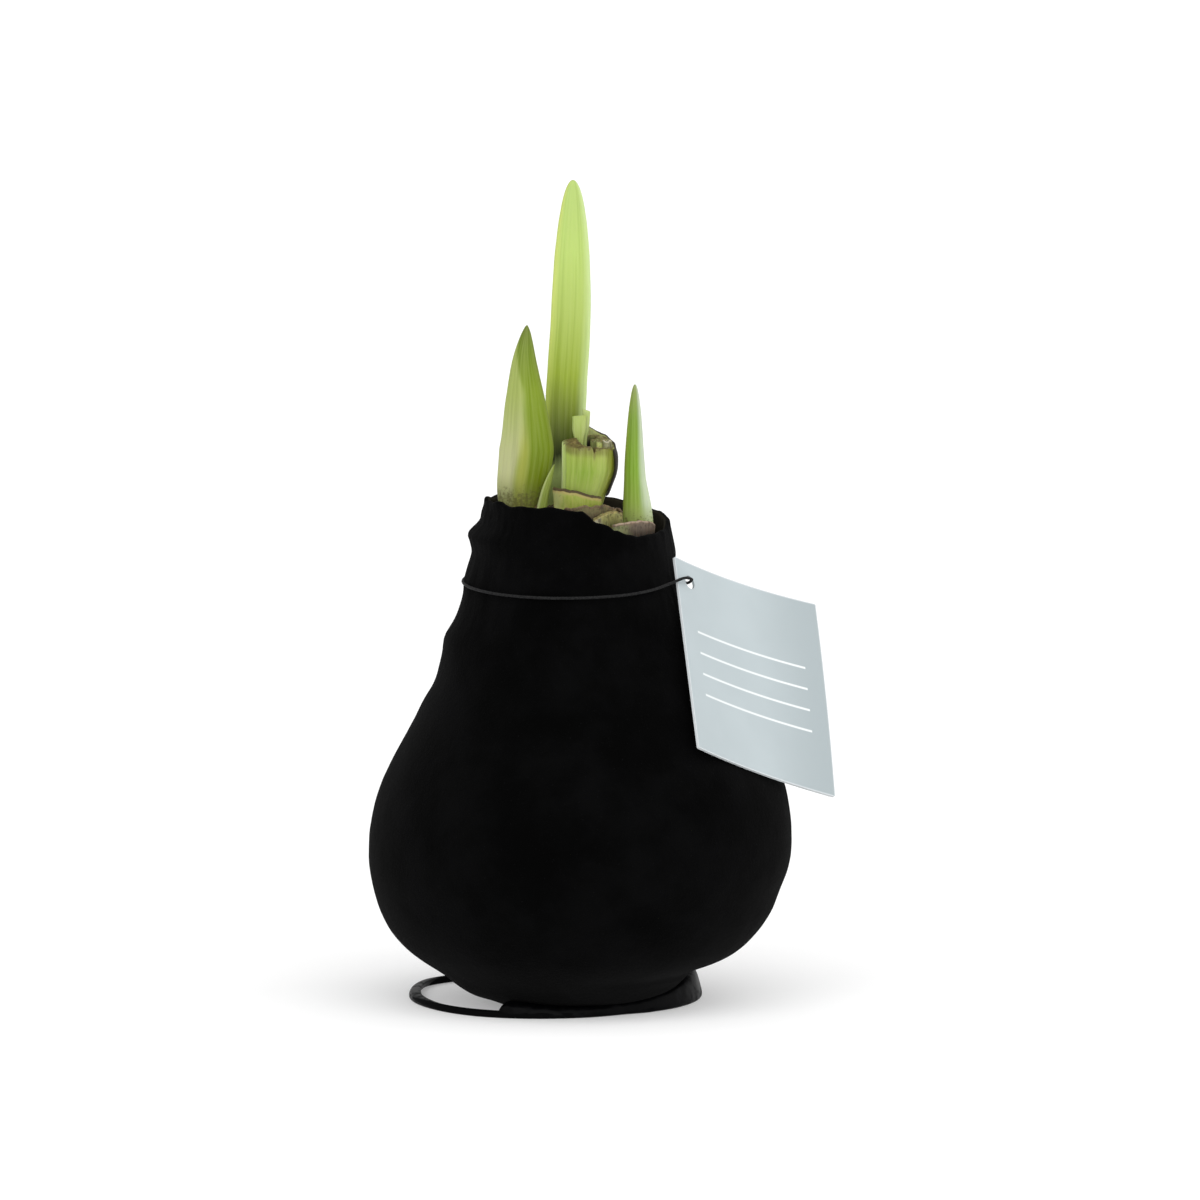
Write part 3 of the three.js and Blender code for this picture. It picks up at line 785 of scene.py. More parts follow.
def leafMaterial(name, leaf):
    material, tree = fleshMaterial(name, 0.5, 0.12, 0.0015)
    spot = spotPlace(tree)
    across, rise, depth = splitVector(tree, spot)
    veins = useGroup(tree, fibres, spot=spot, count=18.0, run=2.2)
    bands = grainOf(tree, stretch(tree, spot, (5.0, 3.0, 1.0)), 1.0, 2.0)
    wander = waver(tree, across, grainOf(tree, spot, 3.0), 0.14)
    shifted = mathNode(tree, "ADD", wander, rangeMask(tree, rise, 0.68, 0.98, 0.0, leaf["tipShift"]))
    shifted = mathNode(tree, "ADD", shifted, rangeMask(tree, rise, 0.52, 0.34, 0.0, leaf["footShift"]))
    leftTone = blendColor(tree, rangeMask(tree, rise, 0.35, 0.75), leaf["leftLow"], leaf["leftHigh"])
    middle = rangeMask(tree, awayFrom(tree, wander, 0.42), 0.17, 0.0)
    warm = times(tree, middle, rangeMask(tree, rise, 0.62, 0.42, 0.0, leaf["warm"]))
    backFoot = times(tree, rangeMask(tree, depth, -0.01, -0.05), rangeMask(tree, rise, 0.5, 0.3, 0.0, 0.85))
    near = rangeMask(tree, rise, 0.32, 0.2, 0.0, leaf["speck"])
    specks = useGroup(tree, scorch, place=objectPlace(tree), near=near, size=1400.0)
    color = layers(
        tree, colorRamp(tree, waver(tree, rise, bands, 0.08), leaf["stops"]),
        (shifted, leaf["leftTo"] + 0.1, leaf["leftTo"] - 0.08, 0.8, leftTone),
        (wander, leaf["rightFrom"], leaf["rightFrom"] + 0.3, 0.9, leaf["right"]),
        (warm, (160, 164, 70)), (times(tree, veins["mask"], 0.12), (206, 216, 140)),
        (veins["height"], 0.5, 0.3, 0.14, (96, 112, 24)),
        (rise, leaf["footTop"], 0.6 * leaf["footTop"], 0.65, leaf["foot"]), (backFoot, leaf["foot"]),
        (times(tree, specks["mask"], 0.75), (88, 84, 44)),
    )
    roughness = rangeMask(tree, veins["mask"], 0, 1, 0.36, 0.5)
    return dress(material, color, veins["height"], 0.35, 0.0003, roughness)


def leafShare(leaf, t):
    if t < leaf["widest"]:
        below = 1 - t / leaf["widest"]
        return 1 - (1 - leaf["baseShare"]) * below * below
    above = (t - leaf["widest"]) / (1 - leaf["widest"])
    return max(0, 1 - above ** leaf["tipPower"]) ** leaf["tipRound"]


def makeLeaf(name, leaf):
    at, along, length = spine(leaf["spine"])

    def place(turn, rise):
        t = 1 - (1 - rise) ** leafMesh["rowPower"]
        share = leafShare(leaf, t)
        ahead = along(t)
        bearing = math.radians(leaf["bearing"] + leaf["twist"] * t)
        across = outwardAt(bearing)
        across = (across - ahead * across.dot(ahead)).normalized()
        front = across.cross(ahead)
        sideways = -math.cos(turn * math.tau)
        facing = math.sin(turn * math.tau)
        rib = leafMesh["rib"] * math.cos(leaf["ribs"] * math.pi * sideways) * abs(facing) * share
        deep = (leaf["thickness"] * 0.5 * share ** 0.4 + rib) * facing - leaf["cup"] * share * sideways ** 2
        wide = leaf["halfWidth"] * share * sideways
        # a pale membrane widens the right side of its foot
        wide += leaf["flare"] * max(0, sideways) ** 2 * smoothStep(t, 0.5, 0.2)
        edge = leafMesh["frayed"] * fractal(Vector((0, 0, t * length)), 6, 1) * sideways * share
        return at(t) + across * (wide + edge) + front * deep, (0.5 + 0.5 * sideways, t, 0.1 * facing)

    bm = wrapGrid(leafMesh["around"], leafMesh["rows"], place)
    return finishPiece(name, bm, leafMaterial(name + "Skin", leaf), leaf["node"], crease=75)


for leafName, leafKind in leafKinds.items():
    makeLeaf(leafName, leafKind)
print("leaves made")


# dry and fresh scales round the nose, and the low cut leaf base, as thin bent sheets
# heights are in the frame; "edge" is the colour of the top edge, "band" the one just under it

scaleCommon = {
    "slot": "scale_tan", "x": 1.2, "y": 0, "ripple": 0.15, "wall": 0.8, "dry": 0.5, "edgeDepth": 0.5,
}
strips = {
    "scaleGreen": {
        **scaleCommon, "node": "scale_green", "slot": "scale_green_pale", "radius": 15.2, "wall": 1,
        "from": -73, "to": -43, "foot": 103, "crown": 112.9, "fall": 0.6, "slope": 0.7, "ragged": 0.2,
        "low": (84, 84, 40), "high": (142, 142, 80), "edge": (140, 130, 76),
        "band": (170, 160, 100), "inner": (118, 116, 64), "left": (170, 166, 140), "dry": 0.4,
        "edgeDepth": 0.3,
    },
    "scaleFront": {
        **scaleCommon, "node": "scale_front", "radius": 13, "wall": 0.7,
        "from": -99, "to": -42, "foot": 104, "crown": 114.3, "fall": 0.7, "slope": -0.2, "ragged": 0.45,
        "low": (50, 36, 24), "high": (112, 106, 66), "edge": (116, 104, 70),
        "band": (108, 86, 62), "inner": (96, 84, 54), "dry": 0.36, "edgeDepth": 0.25, "left": (48, 36, 24),
    },
    "scaleRight": {
        **scaleCommon, "node": "scale_right", "radius": 18.3, "wall": 0.9,
        "from": -61, "to": -12, "foot": 100, "crown": 110.8, "fall": 1.1, "slope": -1.4, "ragged": 0.25,
        "low": (50, 42, 32), "high": (108, 94, 78), "edge": (160, 140, 120),
        "band": (116, 98, 80), "inner": (84, 74, 52), "dry": 0.34, "edgeDepth": 0.3, "left": (122, 130, 84),
    },
    "scaleLeft": {
        **scaleCommon, "node": "scale_left", "radius": 16.2,
        "from": 112, "to": 166, "foot": 103, "crown": 112.4, "fall": 0.8, "slope": 0.6, "ragged": 0.5,
        "low": (70, 54, 38), "high": (108, 88, 60), "edge": (128, 106, 76),
        "band": (116, 94, 66), "inner": (88, 72, 48),
    },
    "scaleLow": {
        **scaleCommon, "node": "scale_low", "radius": 15.4,
        "from": 214, "to": 258, "foot": 103, "crown": 112.8, "fall": 0.8, "slope": 0, "ragged": 0.5,
        "low": (66, 52, 36), "high": (100, 84, 56), "edge": (122, 102, 74),
        "band": (110, 90, 62), "inner": (84, 68, 46),
    },
    "scaleBack": {
        **scaleCommon, "node": "scale_back", "radius": 14.2, "wall": 0.9,
        "from": 34, "to": 138, "foot": 103, "crown": 112.2, "fall": 1.6, "slope": 0.8, "ragged": 0.6,
        "low": (72, 56, 38), "high": (112, 92, 62), "edge": (132, 112, 80),
        "band": (120, 98, 68), "inner": (90, 74, 50),
    },
    "cutLeafBase": {
        "node": "cut_leaf_base", "slot": "stub_green", "x": 2.2, "y": -3.4, "radius": 6.9, "wall": 1.5,
        "from": -139, "to": -42, "foot": 106, "crown": 117.3, "fall": 0.4, "slope": -2.4, "ragged": 0.25,
        "low": (132, 148, 44), "high": (152, 166, 66), "edge": (74, 62, 34), "ripple": 0.1,
        "band": (176, 160, 98), "inner": (70, 66, 32), "left": (168, 176, 108), "dry": 0.14,
        "edgeDepth": 0.55,
    },
}


# "spot" holds the share across, centimetres below the top edge, and 0 outside or 1 inside
def stripMaterial(name, strip):
    material, tree = newMaterial(name, {
        "Roughness": 0.6, "Specular IOR Level": 0.3, "Subsurface Weight": 0.1, "Subsurface Scale": 0.001,
    })
    place = objectPlace(tree)
    spot = spotPlace(tree)
    across, below, inside = splitVector(tree, spot)
    streaks = useGroup(tree, fibres, spot=spot, count=30.0, run=4.0)
    wander = waver(tree, across, grainOf(tree, place, 300.0), 0.3)
    ragged = waver(tree, below, grainOf(tree, place, 520.0, 4.0), 0.05)
    near = rangeMask(tree, below, 0.3, 0.02, 0.4 * strip["dry"], strip["dry"])
    marks = useGroup(tree, scorch, place=place, near=near, size=900.0)
    depth = strip["edgeDepth"] / 10
    # the low colour at each sheet's foot, darker than the high one above, is partly its own colour and partly
    # painted shade where it goes down into the coat or the stub
    color = layers(
        tree, strip["low"], (below, 0.34, 0.06, 1, strip["high"]), (inside, 0.3, 0.7, 0.9, strip["inner"]),
        (wander, 0.34, 0.1, 1, strip.get("left", strip["high"])),
        (times(tree, streaks["mask"], mathNode(tree, "MULTIPLY_ADD", inside, -0.2, 0.3)), strip["band"]),
        (streaks["height"], 0.5, 0.34, strip["dry"], (46, 36, 22)),
        (ragged, depth * 2.4, depth * 1.5, 0.85, strip["band"]),
        (ragged, depth * 1.3, depth * 0.8, 1, strip["edge"]), (times(tree, marks["mask"], 0.7), (52, 38, 24)),
    )
    return dress(material, color, streaks["height"], 0.5, 0.0003)


def makeStrip(name, strip):
    spread = strip["to"] - strip["from"]
    columns = max(28, int(spread * strip["radius"] / 24))

    def place(across, rise):
        degrees = strip["from"] + spread * across
        bearing = math.radians(degrees)
        arc = Vector((bearing * strip["radius"], 0, 0))
        hump = math.sin(math.pi * across)
        torn = fractal(arc, 2.4, strip["radius"]) + 0.4 * fractal(arc, 0.7, 9) + 0.25 * fractal(arc, 0.3, 4)
        top = strip["crown"] - strip["fall"] * (1 - hump) + strip["slope"] * (across - 0.5)
        top += strip["ragged"] * torn + strip["ripple"] * math.sin(math.radians(degrees * 11))
        height = strip["foot"] + (top - strip["foot"]) * rise
        curl = 0.3 * strip["wall"] * smoothStep(top - height, 4, 0) * math.sin(across * 9 + strip["radius"])
        outward = outwardAt(bearing)
        foot = Vector((strip["x"], strip["y"], height))
        return foot + outward * (strip["radius"] + curl), outward, (top - height) / 10

    bm = sheetGrid(columns, 60, strip["wall"] * 0.42, place)
    return finishPiece(name, bm, stripMaterial(name + "Skin", strip), strip["node"])


for stripName, strip in strips.items():
    makeStrip(stripName, strip)
print("scales made")


# stub of the old leaves: cut across, hollow on top

stub = {
    "x": 3, "y": -3, "wide": 5.4, "deep": 4.9, "wall": 2, "around": 180,
    "foot": 105, "top": 127.5, "shoulder": 127, "wellFoot": 121, "hollow": 119,
    "lean": 1.5,
    "torn": 0.12,
    "outerSlope": 0.7,  # the cut slopes down outwards at the left
    "backHump": (1.0, 0.6, 1.1),
    "leftWall": 0.34,  # the wall is thickest at the left
    "notch": (-76, 0.05, 1.3),  # bearing, half width in radians, depth
    "stops": (
        (0.0, (112, 108, 50)), (0.07, (120, 124, 52)), (0.13, (138, 156, 58)), (0.3, (131, 159, 50)),
        (0.5, (152, 172, 76)), (0.64, (168, 180, 102)), (0.85, (92, 100, 36)),
    ),
}


def stubSpread(rise):
    return smoothStep(rise, 0.3, 0.78)


def stubFlare(rise):
    return 0.83 + 0.27 * stubSpread(rise)


def stubMaterial():
    material, tree = fleshMaterial("cutStub", 0.5, 0.15, 0.0015)
    place = objectPlace(tree)
    spot = spotPlace(tree)
    turn, below, depth = splitVector(tree, spot)
    streaks = useGroup(tree, fibres, spot=spot, count=46.0, run=0.9)
    clean = rangeMask(tree, below, 0.1, 0.26)
    inside = rangeMask(tree, depth, 0.86, 1.0)
    # the well is nearly black deep in the hollow and lighter near its top: painted shade
    well = layers(tree, (18, 18, 6), (below, 0.16, 0.0, 1, (96, 98, 48)))
    face = times(tree, rangeMask(tree, depth, 0.08, 0.3), mathNode(tree, "SUBTRACT", 1.0, inside))
    pulp = layers(
        tree, (130, 116, 68), (turn, 0.2, 0.36, 1, (150, 152, 96)),
        (grainOf(tree, place, 900.0, 4.0), 0.42, 0.6, 1, (104, 94, 50)),
    )
    near = rangeMask(tree, below, 0.14, 0.0, 0.0, 0.42)
    marks = useGroup(tree, scorch, place=place, near=near, size=850.0)
    lip = times(tree, rangeMask(tree, depth, 0.0, 0.1), rangeMask(tree, depth, 0.34, 0.14, 0.0, 0.6))
    # the paler left side (180, 204, 92) and its palest edge (216, 236, 150) are painted light against the
    # shade on the stub's left flank
    color = layers(
        tree, colorRamp(tree, times(tree, below, 0.5), stub["stops"]),
        (times(tree, clean, rangeMask(tree, turn, 0.2, 0.04, 0.0, 0.65)), (180, 204, 92)),
        (times(tree, clean, rangeMask(tree, turn, 0.27, 0.35, 0.0, 0.35)), (178, 188, 104)),
        (turn, 0.39, 0.48, 0.9, (112, 118, 20)), (turn, 0.06, 0.0, 0.8, (216, 236, 150)),
        (times(tree, streaks["mask"], 0.3), (184, 194, 118)), (inside, well), (face, pulp),
        (times(tree, marks["mask"], 0.75), (74, 60, 32)), (lip, (84, 66, 36)),
    )
    return dress(material, color, streaks["height"], 0.4, 0.0003)


def makeStub():
    wide, top, inner = stub["wide"], stub["top"], stub["wide"] - stub["wall"]
    outer = [(wide, z / 2) for z in range(2 * stub["foot"], 2 * stub["shoulder"])]
    rim = [(wide - 0.03, top - 0.25), (wide - 0.12, top - 0.1), (wide - 0.3, top)]
    rim += [(wide - 0.3 - 0.15 * i, top + 0.04) for i in range(1, 10)]
    rim += [(inner + 0.1, top - 0.02), (inner, top - 0.3)]
    hollow = stub["hollow"]
    well = [(inner, z / 2) for z in range(2 * stub["shoulder"] - 2, 2 * stub["wellFoot"], -1)]
    well += [(inner - 0.2, hollow + 1.4), (inner - 0.5, hollow + 0.6), (inner - 1.3, hollow)]
    well += [(1, hollow), (0, hollow)]
    bm = spinProfile([(0, stub["foot"]), *outer, *rim, *well], stub["around"])
    bearing, half, deep = stub["notch"]
    humpAt, humpSpread, hump = stub["backHump"]

    def rule(point):
        angle, radius = polar(point)
        depth = clamp((wide - radius) / stub["wall"])
        rise = (point.z - stub["foot"]) / (top - stub["foot"])
        topward = smoothStep(point.z, hollow, top)
        leftward = smoothStep(-math.cos(angle), 0.1, 0.7)
        uneven = -0.9 * math.cos(angle) + 0.5 * math.sin(angle) + 0.12 * math.sin(4 * angle)
        uneven -= deep * bump(angle, math.radians(bearing), half) * (1 - 0.4 * depth)
        uneven += hump * bump(angle, humpAt, humpSpread)
        uneven -= stub["outerSlope"] * leftward * (1 - depth)
        uneven += stub["torn"] * fractal(point, 0.9, 6)
        grooves = fractal(Vector((point.x, point.y, point.z * 0.12)), 1.6, 8)
        flutes = 0.012 * math.sin(22 * angle) + 0.02 * grooves
        flare = stubFlare(rise) + 0.02 * math.sin(3 * angle + 1) + flutes * (radius / wide)
        flare *= 1 - stub["leftWall"] * leftward * depth
        flare += 0.03 * max(0, math.cos(angle)) * smoothStep(rise, 0.45, 0.85) * (1 - depth)
        moved = Vector((
            stub["x"] + stub["lean"] * stubSpread(rise) + point.x * flare,
            stub["y"] + point.y * flare * (stub["deep"] / wide),
            point.z + uneven * topward,
        ))
        return moved, (0.25 + 0.25 * math.cos(angle), (top - point.z) / 10, depth)

    reshape(bm, rule)
    return finishPiece("leafStub", bm, stubMaterial(), "leaf_stub")


makeStub()


# what stands in the stub: two flat cut leaves, a bent inner leaf, a rolled tip, and the dry skin round it

sprouts = {
    "sproutFront": {
        "foot": (2.5, -2.3, 117), "top": (2.62, -2.15, 133.3), "wide": 3.2, "narrow": 0.62, "deep": 0.9,
        "slope": 0.15, "bearing": 4,
        "low": (112, 122, 60), "middle": (146, 160, 78), "high": (160, 177, 90), "cut": (150, 160, 90),
    },
    "sproutBack": {
        "foot": (3.2, -1.2, 117), "top": (4.1, -1.05, 134.4), "wide": 1.8, "narrow": 0.6, "deep": 0.8,
        "slope": -0.3, "bearing": -6,
        "low": (96, 106, 50), "middle": (140, 154, 80), "high": (170, 186, 110), "cut": (156, 164, 98),
    },
}
sproutMesh = {"around": 48, "rows": 70, "closing": 0.86}  # the rows past closing shut the cut top


def sproutMaterial(name, sprout):
    material, tree = fleshMaterial(name, 0.48, 0.12, 0.001)
    spot = spotPlace(tree)
    rise, cut = splitVector(tree, spot)[1:]
    streaks = useGroup(tree, fibres, spot=spot, count=12.0, run=2.0)
    stops = ((0.0, sprout["low"]), (0.55, sprout["middle"]), (0.95, sprout["high"]))
    color = layers(
        tree, colorRamp(tree, rise, stops),
        (times(tree, streaks["mask"], 0.3), (198, 208, 148)), (cut, 0.3, 0.7, 0.8, sprout["cut"]),
    )
    return dress(material, color, streaks["height"], 0.3, 0.0002)


def makeSprout(name, sprout):
    closing = sproutMesh["closing"]
    foot, head = Vector(sprout["foot"]), Vector(sprout["top"])
    bearing = math.radians(sprout["bearing"])
    across = outwardAt(bearing)
    front = Vector((math.sin(bearing), -math.cos(bearing), 0))

    def place(turn, rise):
        t = min(1, rise / closing)
        over = max(0, rise - closing) / (1 - closing)
        shrink = math.cos(over * math.pi / 2)
        sideways, facing = -math.cos(turn * math.tau), math.sin(turn * math.tau)
        square = max(abs(sideways), abs(facing)) ** -0.4
        spread = sprout["narrow"] + (1 - sprout["narrow"]) * smoothStep(t, 0.62, 0.84)
        wide = 0.5 * sprout["wide"] * spread * square * sideways * shrink
        deep = 0.5 * sprout["deep"] * square * facing * shrink - 0.3 * sideways ** 2 * shrink
        lift = (sprout["slope"] * sideways * shrink + 0.12 * math.sin(over * math.pi / 2)) * t ** 4
        point = foot.lerp(head, t) + across * wide + front * deep + up * lift
        return point, (0.5 + 0.5 * sideways, t, over)

    bm = wrapGrid(sproutMesh["around"], sproutMesh["rows"], place)
    skin = sproutMaterial(name + "Skin", sprout)
    return finishPiece(name, bm, skin, "stub_sprout", crease=50)


for sproutName, sprout in sprouts.items():
    makeSprout(sproutName, sprout)

# "turnFrom" and "turnTo" are bearings round the piece's own middle; the roll winds inwards
rolls = {
    "innerLeaf": {
        "x": 6.1, "y": -2.6, "radius": 1.5, "windIn": 0.0, "wall": 0.9, "turnFrom": -80, "turnTo": 130,
        "foot": 118, "crown": 128.2, "wave": 0.3, "low": (116, 124, 58), "high": (186, 194, 110),
        "edge": (120, 114, 66), "band": (160, 166, 108), "inner": (116, 122, 66),
        "dry": 0.2, "edgeDepth": 0.3,
    },
    "rolledTip": {
        "x": 8.7, "y": -3.5, "radius": 0.95, "windIn": 0.45, "wall": 0.34, "turnFrom": -20, "turnTo": 470,
        "foot": 118.5, "crown": 127.9, "wave": 0.2, "low": (112, 112, 64), "high": (146, 146, 110),
        "edge": (188, 184, 156), "band": (150, 148, 112), "inner": (96, 92, 62), "dry": 0.3, "edgeDepth": 0.2,
    },
}


def makeRoll(name, roll):
    spread = roll["turnTo"] - roll["turnFrom"]

    def place(across, rise):
        bearing = math.radians(roll["turnFrom"] + spread * across)
        wave = math.sin(2.3 * bearing) + 0.5 * fractal(Vector((bearing, 0, 0)), 0.5, 3)
        top = roll["crown"] + roll["wave"] * wave
        height = roll["foot"] + (top - roll["foot"]) * rise
        outward = outwardAt(bearing)
        radius = roll["radius"] * (1 - roll["windIn"] * across)
        return Vector((roll["x"], roll["y"], height)) + outward * radius, outward, (top - height) / 10

    bm = sheetGrid(44, 40, roll["wall"] / 2, place)
    return finishPiece(name, bm, stripMaterial(name + "Skin", roll), "leaf_stub")


for rollName, roll in rolls.items():
    makeRoll(rollName, roll)

drySkin = {
    "from": -22, "to": 104, "wall": 0.44, "off": 0.5, "leanIn": 0.5,
    "foot": 115.5, "footRise": 4, "top": 126.1, "topRise": 5.15, "topPower": 1.3, "ripple": 0.1,
    "low": (34, 30, 16), "high": (44, 38, 28), "edge": (40, 32, 24), "band": (52, 44, 32),
    "inner": (206, 214, 138), "dry": 0.12, "edgeDepth": 0.12,
    "left": (34, 28, 18),
}


def makeSkin():
    spread = drySkin["to"] - drySkin["from"]

    def place(across, rise):
        bearing = math.radians(drySkin["from"] + spread * across)
        top = drySkin["top"] + drySkin["topRise"] * across ** drySkin["topPower"]
        top += drySkin["ripple"] * math.sin(9 * bearing)
        top += drySkin["ripple"] * fractal(Vector((bearing * 6, 0, 0)), 1.1, 12)
        foot = drySkin["foot"] + drySkin["footRise"] * across
        height = foot + (top - foot) * rise
        share = (height - stub["foot"]) / (stub["top"] - stub["foot"])
        flare = stubFlare(share) + 0.02
        crinkle = 0.05 * fractal(Vector((bearing * 6, height * 0.4, 0)), 1.2, 13)
        off = drySkin["off"] + crinkle - drySkin["leanIn"] * smoothStep(top - height, 2.5, 0)
        outward = outwardAt(bearing)
        middle = Vector((
            stub["x"] + stub["lean"] * stubSpread(share) + (stub["wide"] * flare + off) * outward.x,
            stub["y"] + (stub["deep"] * flare + off) * outward.y,
            height,
        ))
        return middle, outward, (top - height) / 10

    bm = sheetGrid(80, 50, drySkin["wall"] / 2, place)
    brown = stripMaterial("drySkinBrown", drySkin)
    return finishPiece("drySkin", bm, brown, "stub_skin")


makeSkin()
print("stub made")


# card tag with a punched hole and plain ruled lines to write on

tag = {
    "width": 45.1, "height": 47.8, "thickness": 0.6, "cornerRadius": 0.4,
    "sag": 1.6,
    "twist": 1.6,
    "holeRadius": 1.6, "holeIn": 4.7, "holeDown": 5.0,
    "corner": (23.4, -7.9, 102.3),  # its top left corner, and the way from there across it and down it
    "across": (31.94, 28.39, -14.46),
    "down": (5.9, -25.74, -39.89),
    "columns": 28, "rows": 24,
    "lines": (0.64, 0.53, 0.42, 0.31),  # heights of the ruled lines, as shares of the card
    "lineHalf": 0.005,
    "margin": 0.12,
}


def tagMaterial():
    material, tree = newMaterial("plainCard", {"Roughness": 0.55, "Specular IOR Level": 0.35})
    spot = spotPlace(tree)
    across, height = splitVector(tree, spot)[:2]
    fibre = grainOf(tree, stretch(tree, spot, (300.0, 300.0, 1.0)), 1.0, 4.0, 0.7)
    cloud = grainOf(tree, stretch(tree, spot, (3.0, 3.0, 1.0)), 1.0, 2.0)
    fromMiddle = awayFrom(tree, across, 0.5)
    edge = mathNode(tree, "MAXIMUM", fromMiddle, awayFrom(tree, height, 0.5))
    inField = rangeMask(tree, fromMiddle, 0.5 - tag["margin"] + 0.004, 0.5 - tag["margin"])
    ruled = []
    for place in tag["lines"]:
        line = rangeMask(tree, awayFrom(tree, height, place), tag["lineHalf"] * 1.4, tag["lineHalf"] * 0.8)
        ruled.append((times(tree, times(tree, line, inField), 0.9), (236, 240, 240)))
    # the card turns darker towards its right side: painted shade
    color = layers(
        tree, (180, 190, 193),
        (cloud, 0.3, 0.7, 1, (184, 194, 197)), (fibre, 0.45, 0.75, 0.1, (168, 180, 184)),
        (across, 0.45, 1.0, 1, (164, 174, 177)), *ruled, (edge, 0.492, 0.499, 0.8, (222, 226, 228)),
    )
    return dress(material, color, fibre, 0.12, 0.0001)


def makeTag():
    wide, high = tag["width"], tag["height"]
    bm = bmesh.new()
    spot = bm.verts.layers.float_vector.new("spot")
    bmesh.ops.create_grid(bm, x_segments=1, y_segments=1, size=0.5)
    bmesh.ops.scale(bm, vec=(wide, high, 1), verts=bm.verts)
    bmesh.ops.bevel(
        bm, geom=bm.verts[:], offset=tag["cornerRadius"], affect="VERTICES", segments=4,
        profile=0.5, material=-1,
    )
    bmesh.ops.delete(bm, geom=bm.faces[:], context="FACES_ONLY")
    hole = Matrix.Translation((tag["holeIn"] - wide / 2, high / 2 - tag["holeDown"], 0))
    bmesh.ops.create_circle(bm, cap_ends=False, segments=40, radius=tag["holeRadius"], matrix=hole)
    bmesh.ops.triangle_fill(bm, edges=bm.edges[:], use_beauty=True)
    cuts = [((wide * (i / tag["columns"] - 0.5), 0, 0), (1, 0, 0)) for i in range(1, tag["columns"])]
    cuts += [((0, high * (i / tag["rows"] - 0.5), 0), (0, 1, 0)) for i in range(1, tag["rows"])]
    for where, normal in cuts:
        everything = bm.verts[:] + bm.edges[:] + bm.faces[:]
        bmesh.ops.bisect_plane(bm, geom=everything, plane_co=where, plane_no=normal)
    bmesh.ops.recalc_face_normals(bm, faces=bm.faces)
    sheet = bmesh.ops.extrude_face_region(bm, geom=bm.faces[:])
    lifted = [item for item in sheet["geom"] if isinstance(item, bmesh.types.BMVert)]
    bmesh.ops.translate(bm, vec=(0, 0, tag["thickness"]), verts=lifted)
    bmesh.ops.translate(bm, vec=(0, 0, -tag["thickness"] / 2), verts=bm.verts)
    right = Vector(tag["across"]).normalized()
    upward = -Vector(tag["down"])
    upward = (upward - right * upward.dot(right)).normalized()
    out = right.cross(upward)
    middle = Vector(tag["corner"]) + Vector(tag["across"]) / 2 + Vector(tag["down"]) / 2
    for vert in bm.verts:
        x, y, z = vert.co
        vert[spot] = (x / wide + 0.5, y / high + 0.5, 0.0)
        side = 2 * x / wide
        corner = (x / wide + 0.5) * (0.5 - y / high)
        bow = tag["sag"] * (1 - side * side) + tag["twist"] * corner * corner
        vert.co = middle + right * x + upward * y + out * (z - bow)
    return finishPiece("hangTag", bm, tagMaterial(), "hang_tag", crease=35)


makeTag()
print("tag made")


# cord round the neck, through the tag's hole, and its knot at the back

cord = {
    "radius": 0.32,
    "route": (
        (-0.6, 24.9, 96.6), (-6.5, 23.6, 96.5), (-15.6, 18.2, 96.3), (-21.6, 9.8, 96), (-23.6, 0, 95.7),
        (-21.6, -9.8, 95.4), (-15.5, -18.4, 95.1), (-6.4, -23.8, 95), (4, -24.7, 95.1), (13.4, -21.6, 95.4),
        (19.3, -17, 96), (23.4, -12.9, 97), (26.2, -10.8, 97.8), (27.8, -8.9, 97.2), (27, -6.8, 96.2),
        (26.2, -3.4, 95.9), (25.9, 2, 96.1), (23.8, 9.4, 96.4), (18, 17.8, 96.5), (9.4, 23.4, 96.6),
        (2.8, 24.9, 96.6),
    ),
    "steps": 320,
    "knot": (1.1, 25.3, 96.5),
    "knotSize": 0.28,
    "knotSteps": 180,
    "tailSteps": 40,
    "tails": (
        ((0.9, 25.4, 96), (0.2, 26.2, 93.6), (-1.2, 26.4, 91.2), (-2, 26.9, 89)),
        ((1.4, 25.4, 96), (2.2, 26.2, 94.2), (3.3, 26.3, 92.4), (3.6, 26.9, 90.6)),
    ),
}


def cordMaterial():
    material, tree = newMaterial("blackCord", {
        "Roughness": 0.8, "Specular IOR Level": 0.15, "Sheen Weight": 0.04, "Sheen Roughness": 0.4,
    })
    strands = grainOf(tree, objectPlace(tree), 2400.0, 2.0, 0.6)
    color = layers(tree, (0.004, 0.004, 0.0042, 1), (strands, 0.35, 0.65, 1, (0.012, 0.012, 0.012, 1)))
    return dress(material, color, strands, 0.5, 0.0002)


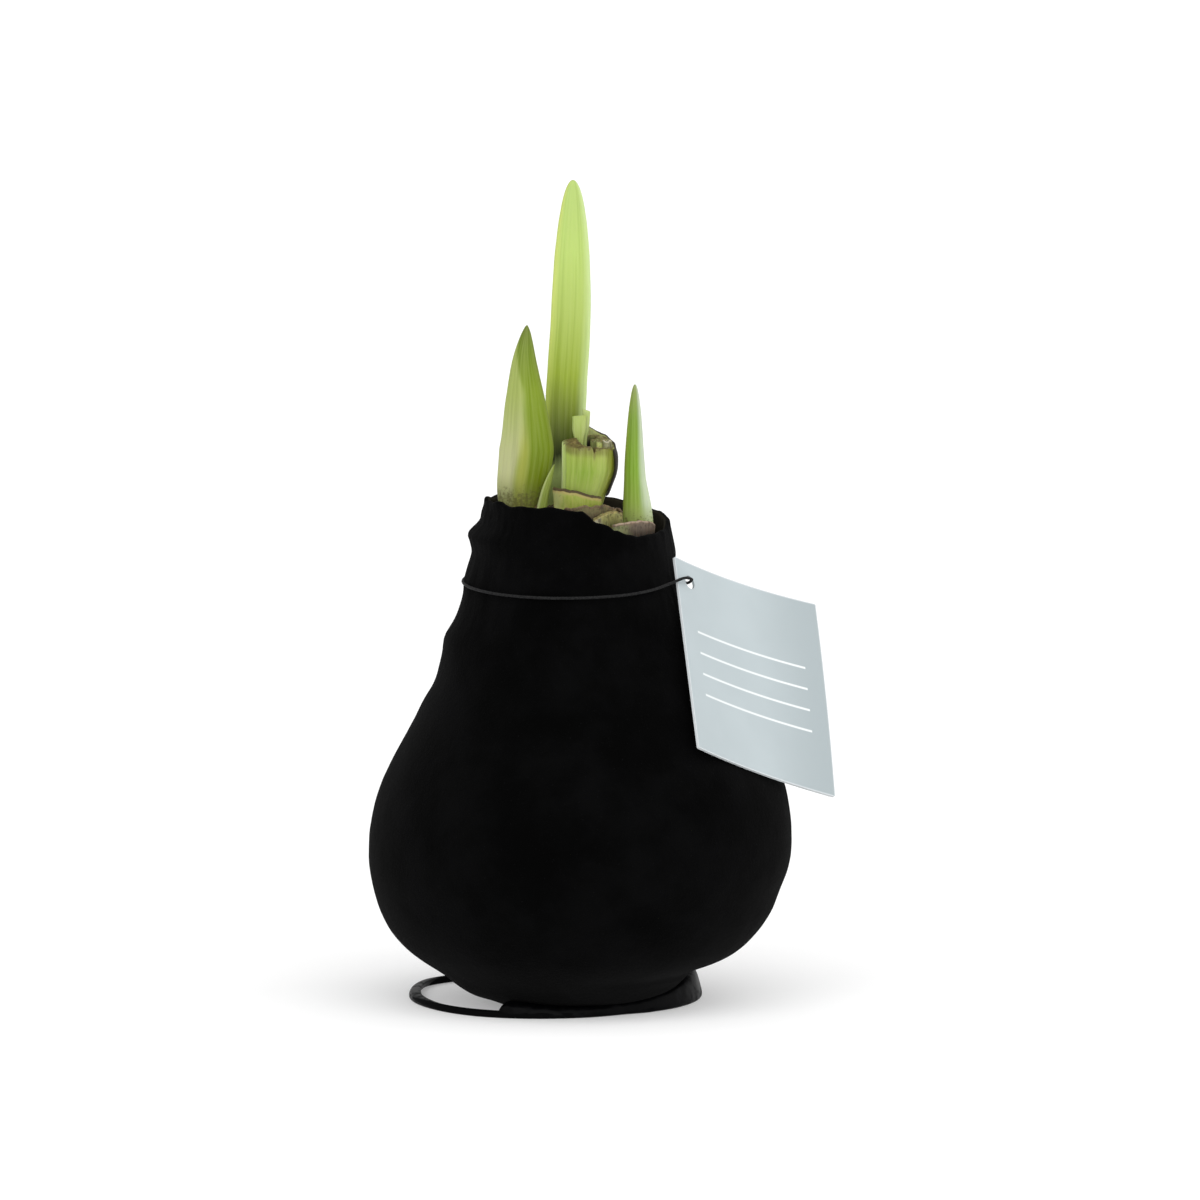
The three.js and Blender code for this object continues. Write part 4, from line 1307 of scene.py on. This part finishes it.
def makeCord():
    thread = cordMaterial()
    route = [Vector(point) for point in cord["route"]]
    line = addStrand("tagCord", route, cord["radius"], thread, "tag_cord", cord["steps"], 4)
    loops = []
    for t in (i / 60 * math.tau for i in range(61)):
        x, z = math.sin(t) + 2 * math.sin(2 * t), math.cos(t) - 2 * math.cos(2 * t)
        trefoil = Vector((x, 1.1 * math.sin(3 * t), z))
        loops.append(Vector(cord["knot"]) + cord["knotSize"] * trefoil)
    ends = [("cordKnot", loops, cord["knotSteps"])]
    for i, tail in enumerate(cord["tails"]):
        ends.append((f"cordTail{i + 1}", [Vector(point) for point in tail], cord["tailSteps"]))
    pieces = [
        addStrand(name, points, cord["radius"], thread, "cord_knot", steps, 4)
        for name, points, steps in ends
    ]


makeCord()
print("cord made")


# floor and light

studio = {
    "floorSize": 16.0,
    "floorShade": 0.72,
    "floorGlow": 0.285,  # a lit pale table top
    "world": 0.64,
    # where each lamp stands, its strength and the width of its disc in degrees
    "suns": {
        "frontSun": ((0.1, -1.6, 1.15), 2.4, 75),
        "leftSun": ((-2.2, -0.4, 1.3), 0.15, 60),
        "rightSun": ((2.2, -0.4, 1.3), 0.6, 60),
    },
}


def makeStudio():
    material = newMaterial("paleFloor", {
        "Roughness": 0.9, "Specular IOR Level": 0.1, "Base Color": (*[studio["floorShade"]] * 3, 1),
        "Emission Color": (1, 1, 1, 1), "Emission Strength": studio["floorGlow"],
    })[0]
    bm = bmesh.new()
    bmesh.ops.create_grid(bm, x_segments=1, y_segments=1, size=studio["floorSize"] / 2)
    mesh = bpy.data.meshes.new("floor")
    bm.to_mesh(mesh)
    bm.free()
    mesh.materials.append(material)
    floor = bpy.data.objects.new("floor", mesh)
    scene.collection.objects.link(floor)
    world = bpy.data.worlds.new("studio")
    world.use_nodes = True
    backdrop = world.node_tree.nodes["Background"]
    backdrop.inputs["Color"].default_value = (1, 1, 1, 1)
    backdrop.inputs["Strength"].default_value = studio["world"]
    scene.world = world
    for name, (place, strength, width) in studio["suns"].items():
        data = bpy.data.lights.new(name, "SUN")
        data.energy = strength
        data.angle = math.radians(width)
        lamp = bpy.data.objects.new(name, data)
        lamp.location = place
        lamp.rotation_euler = (-Vector(place)).to_track_quat("-Z", "Y").to_euler()
        scene.collection.objects.link(lamp)
    scene.view_settings.view_transform = "Standard"


makeStudio()
print("studio made")
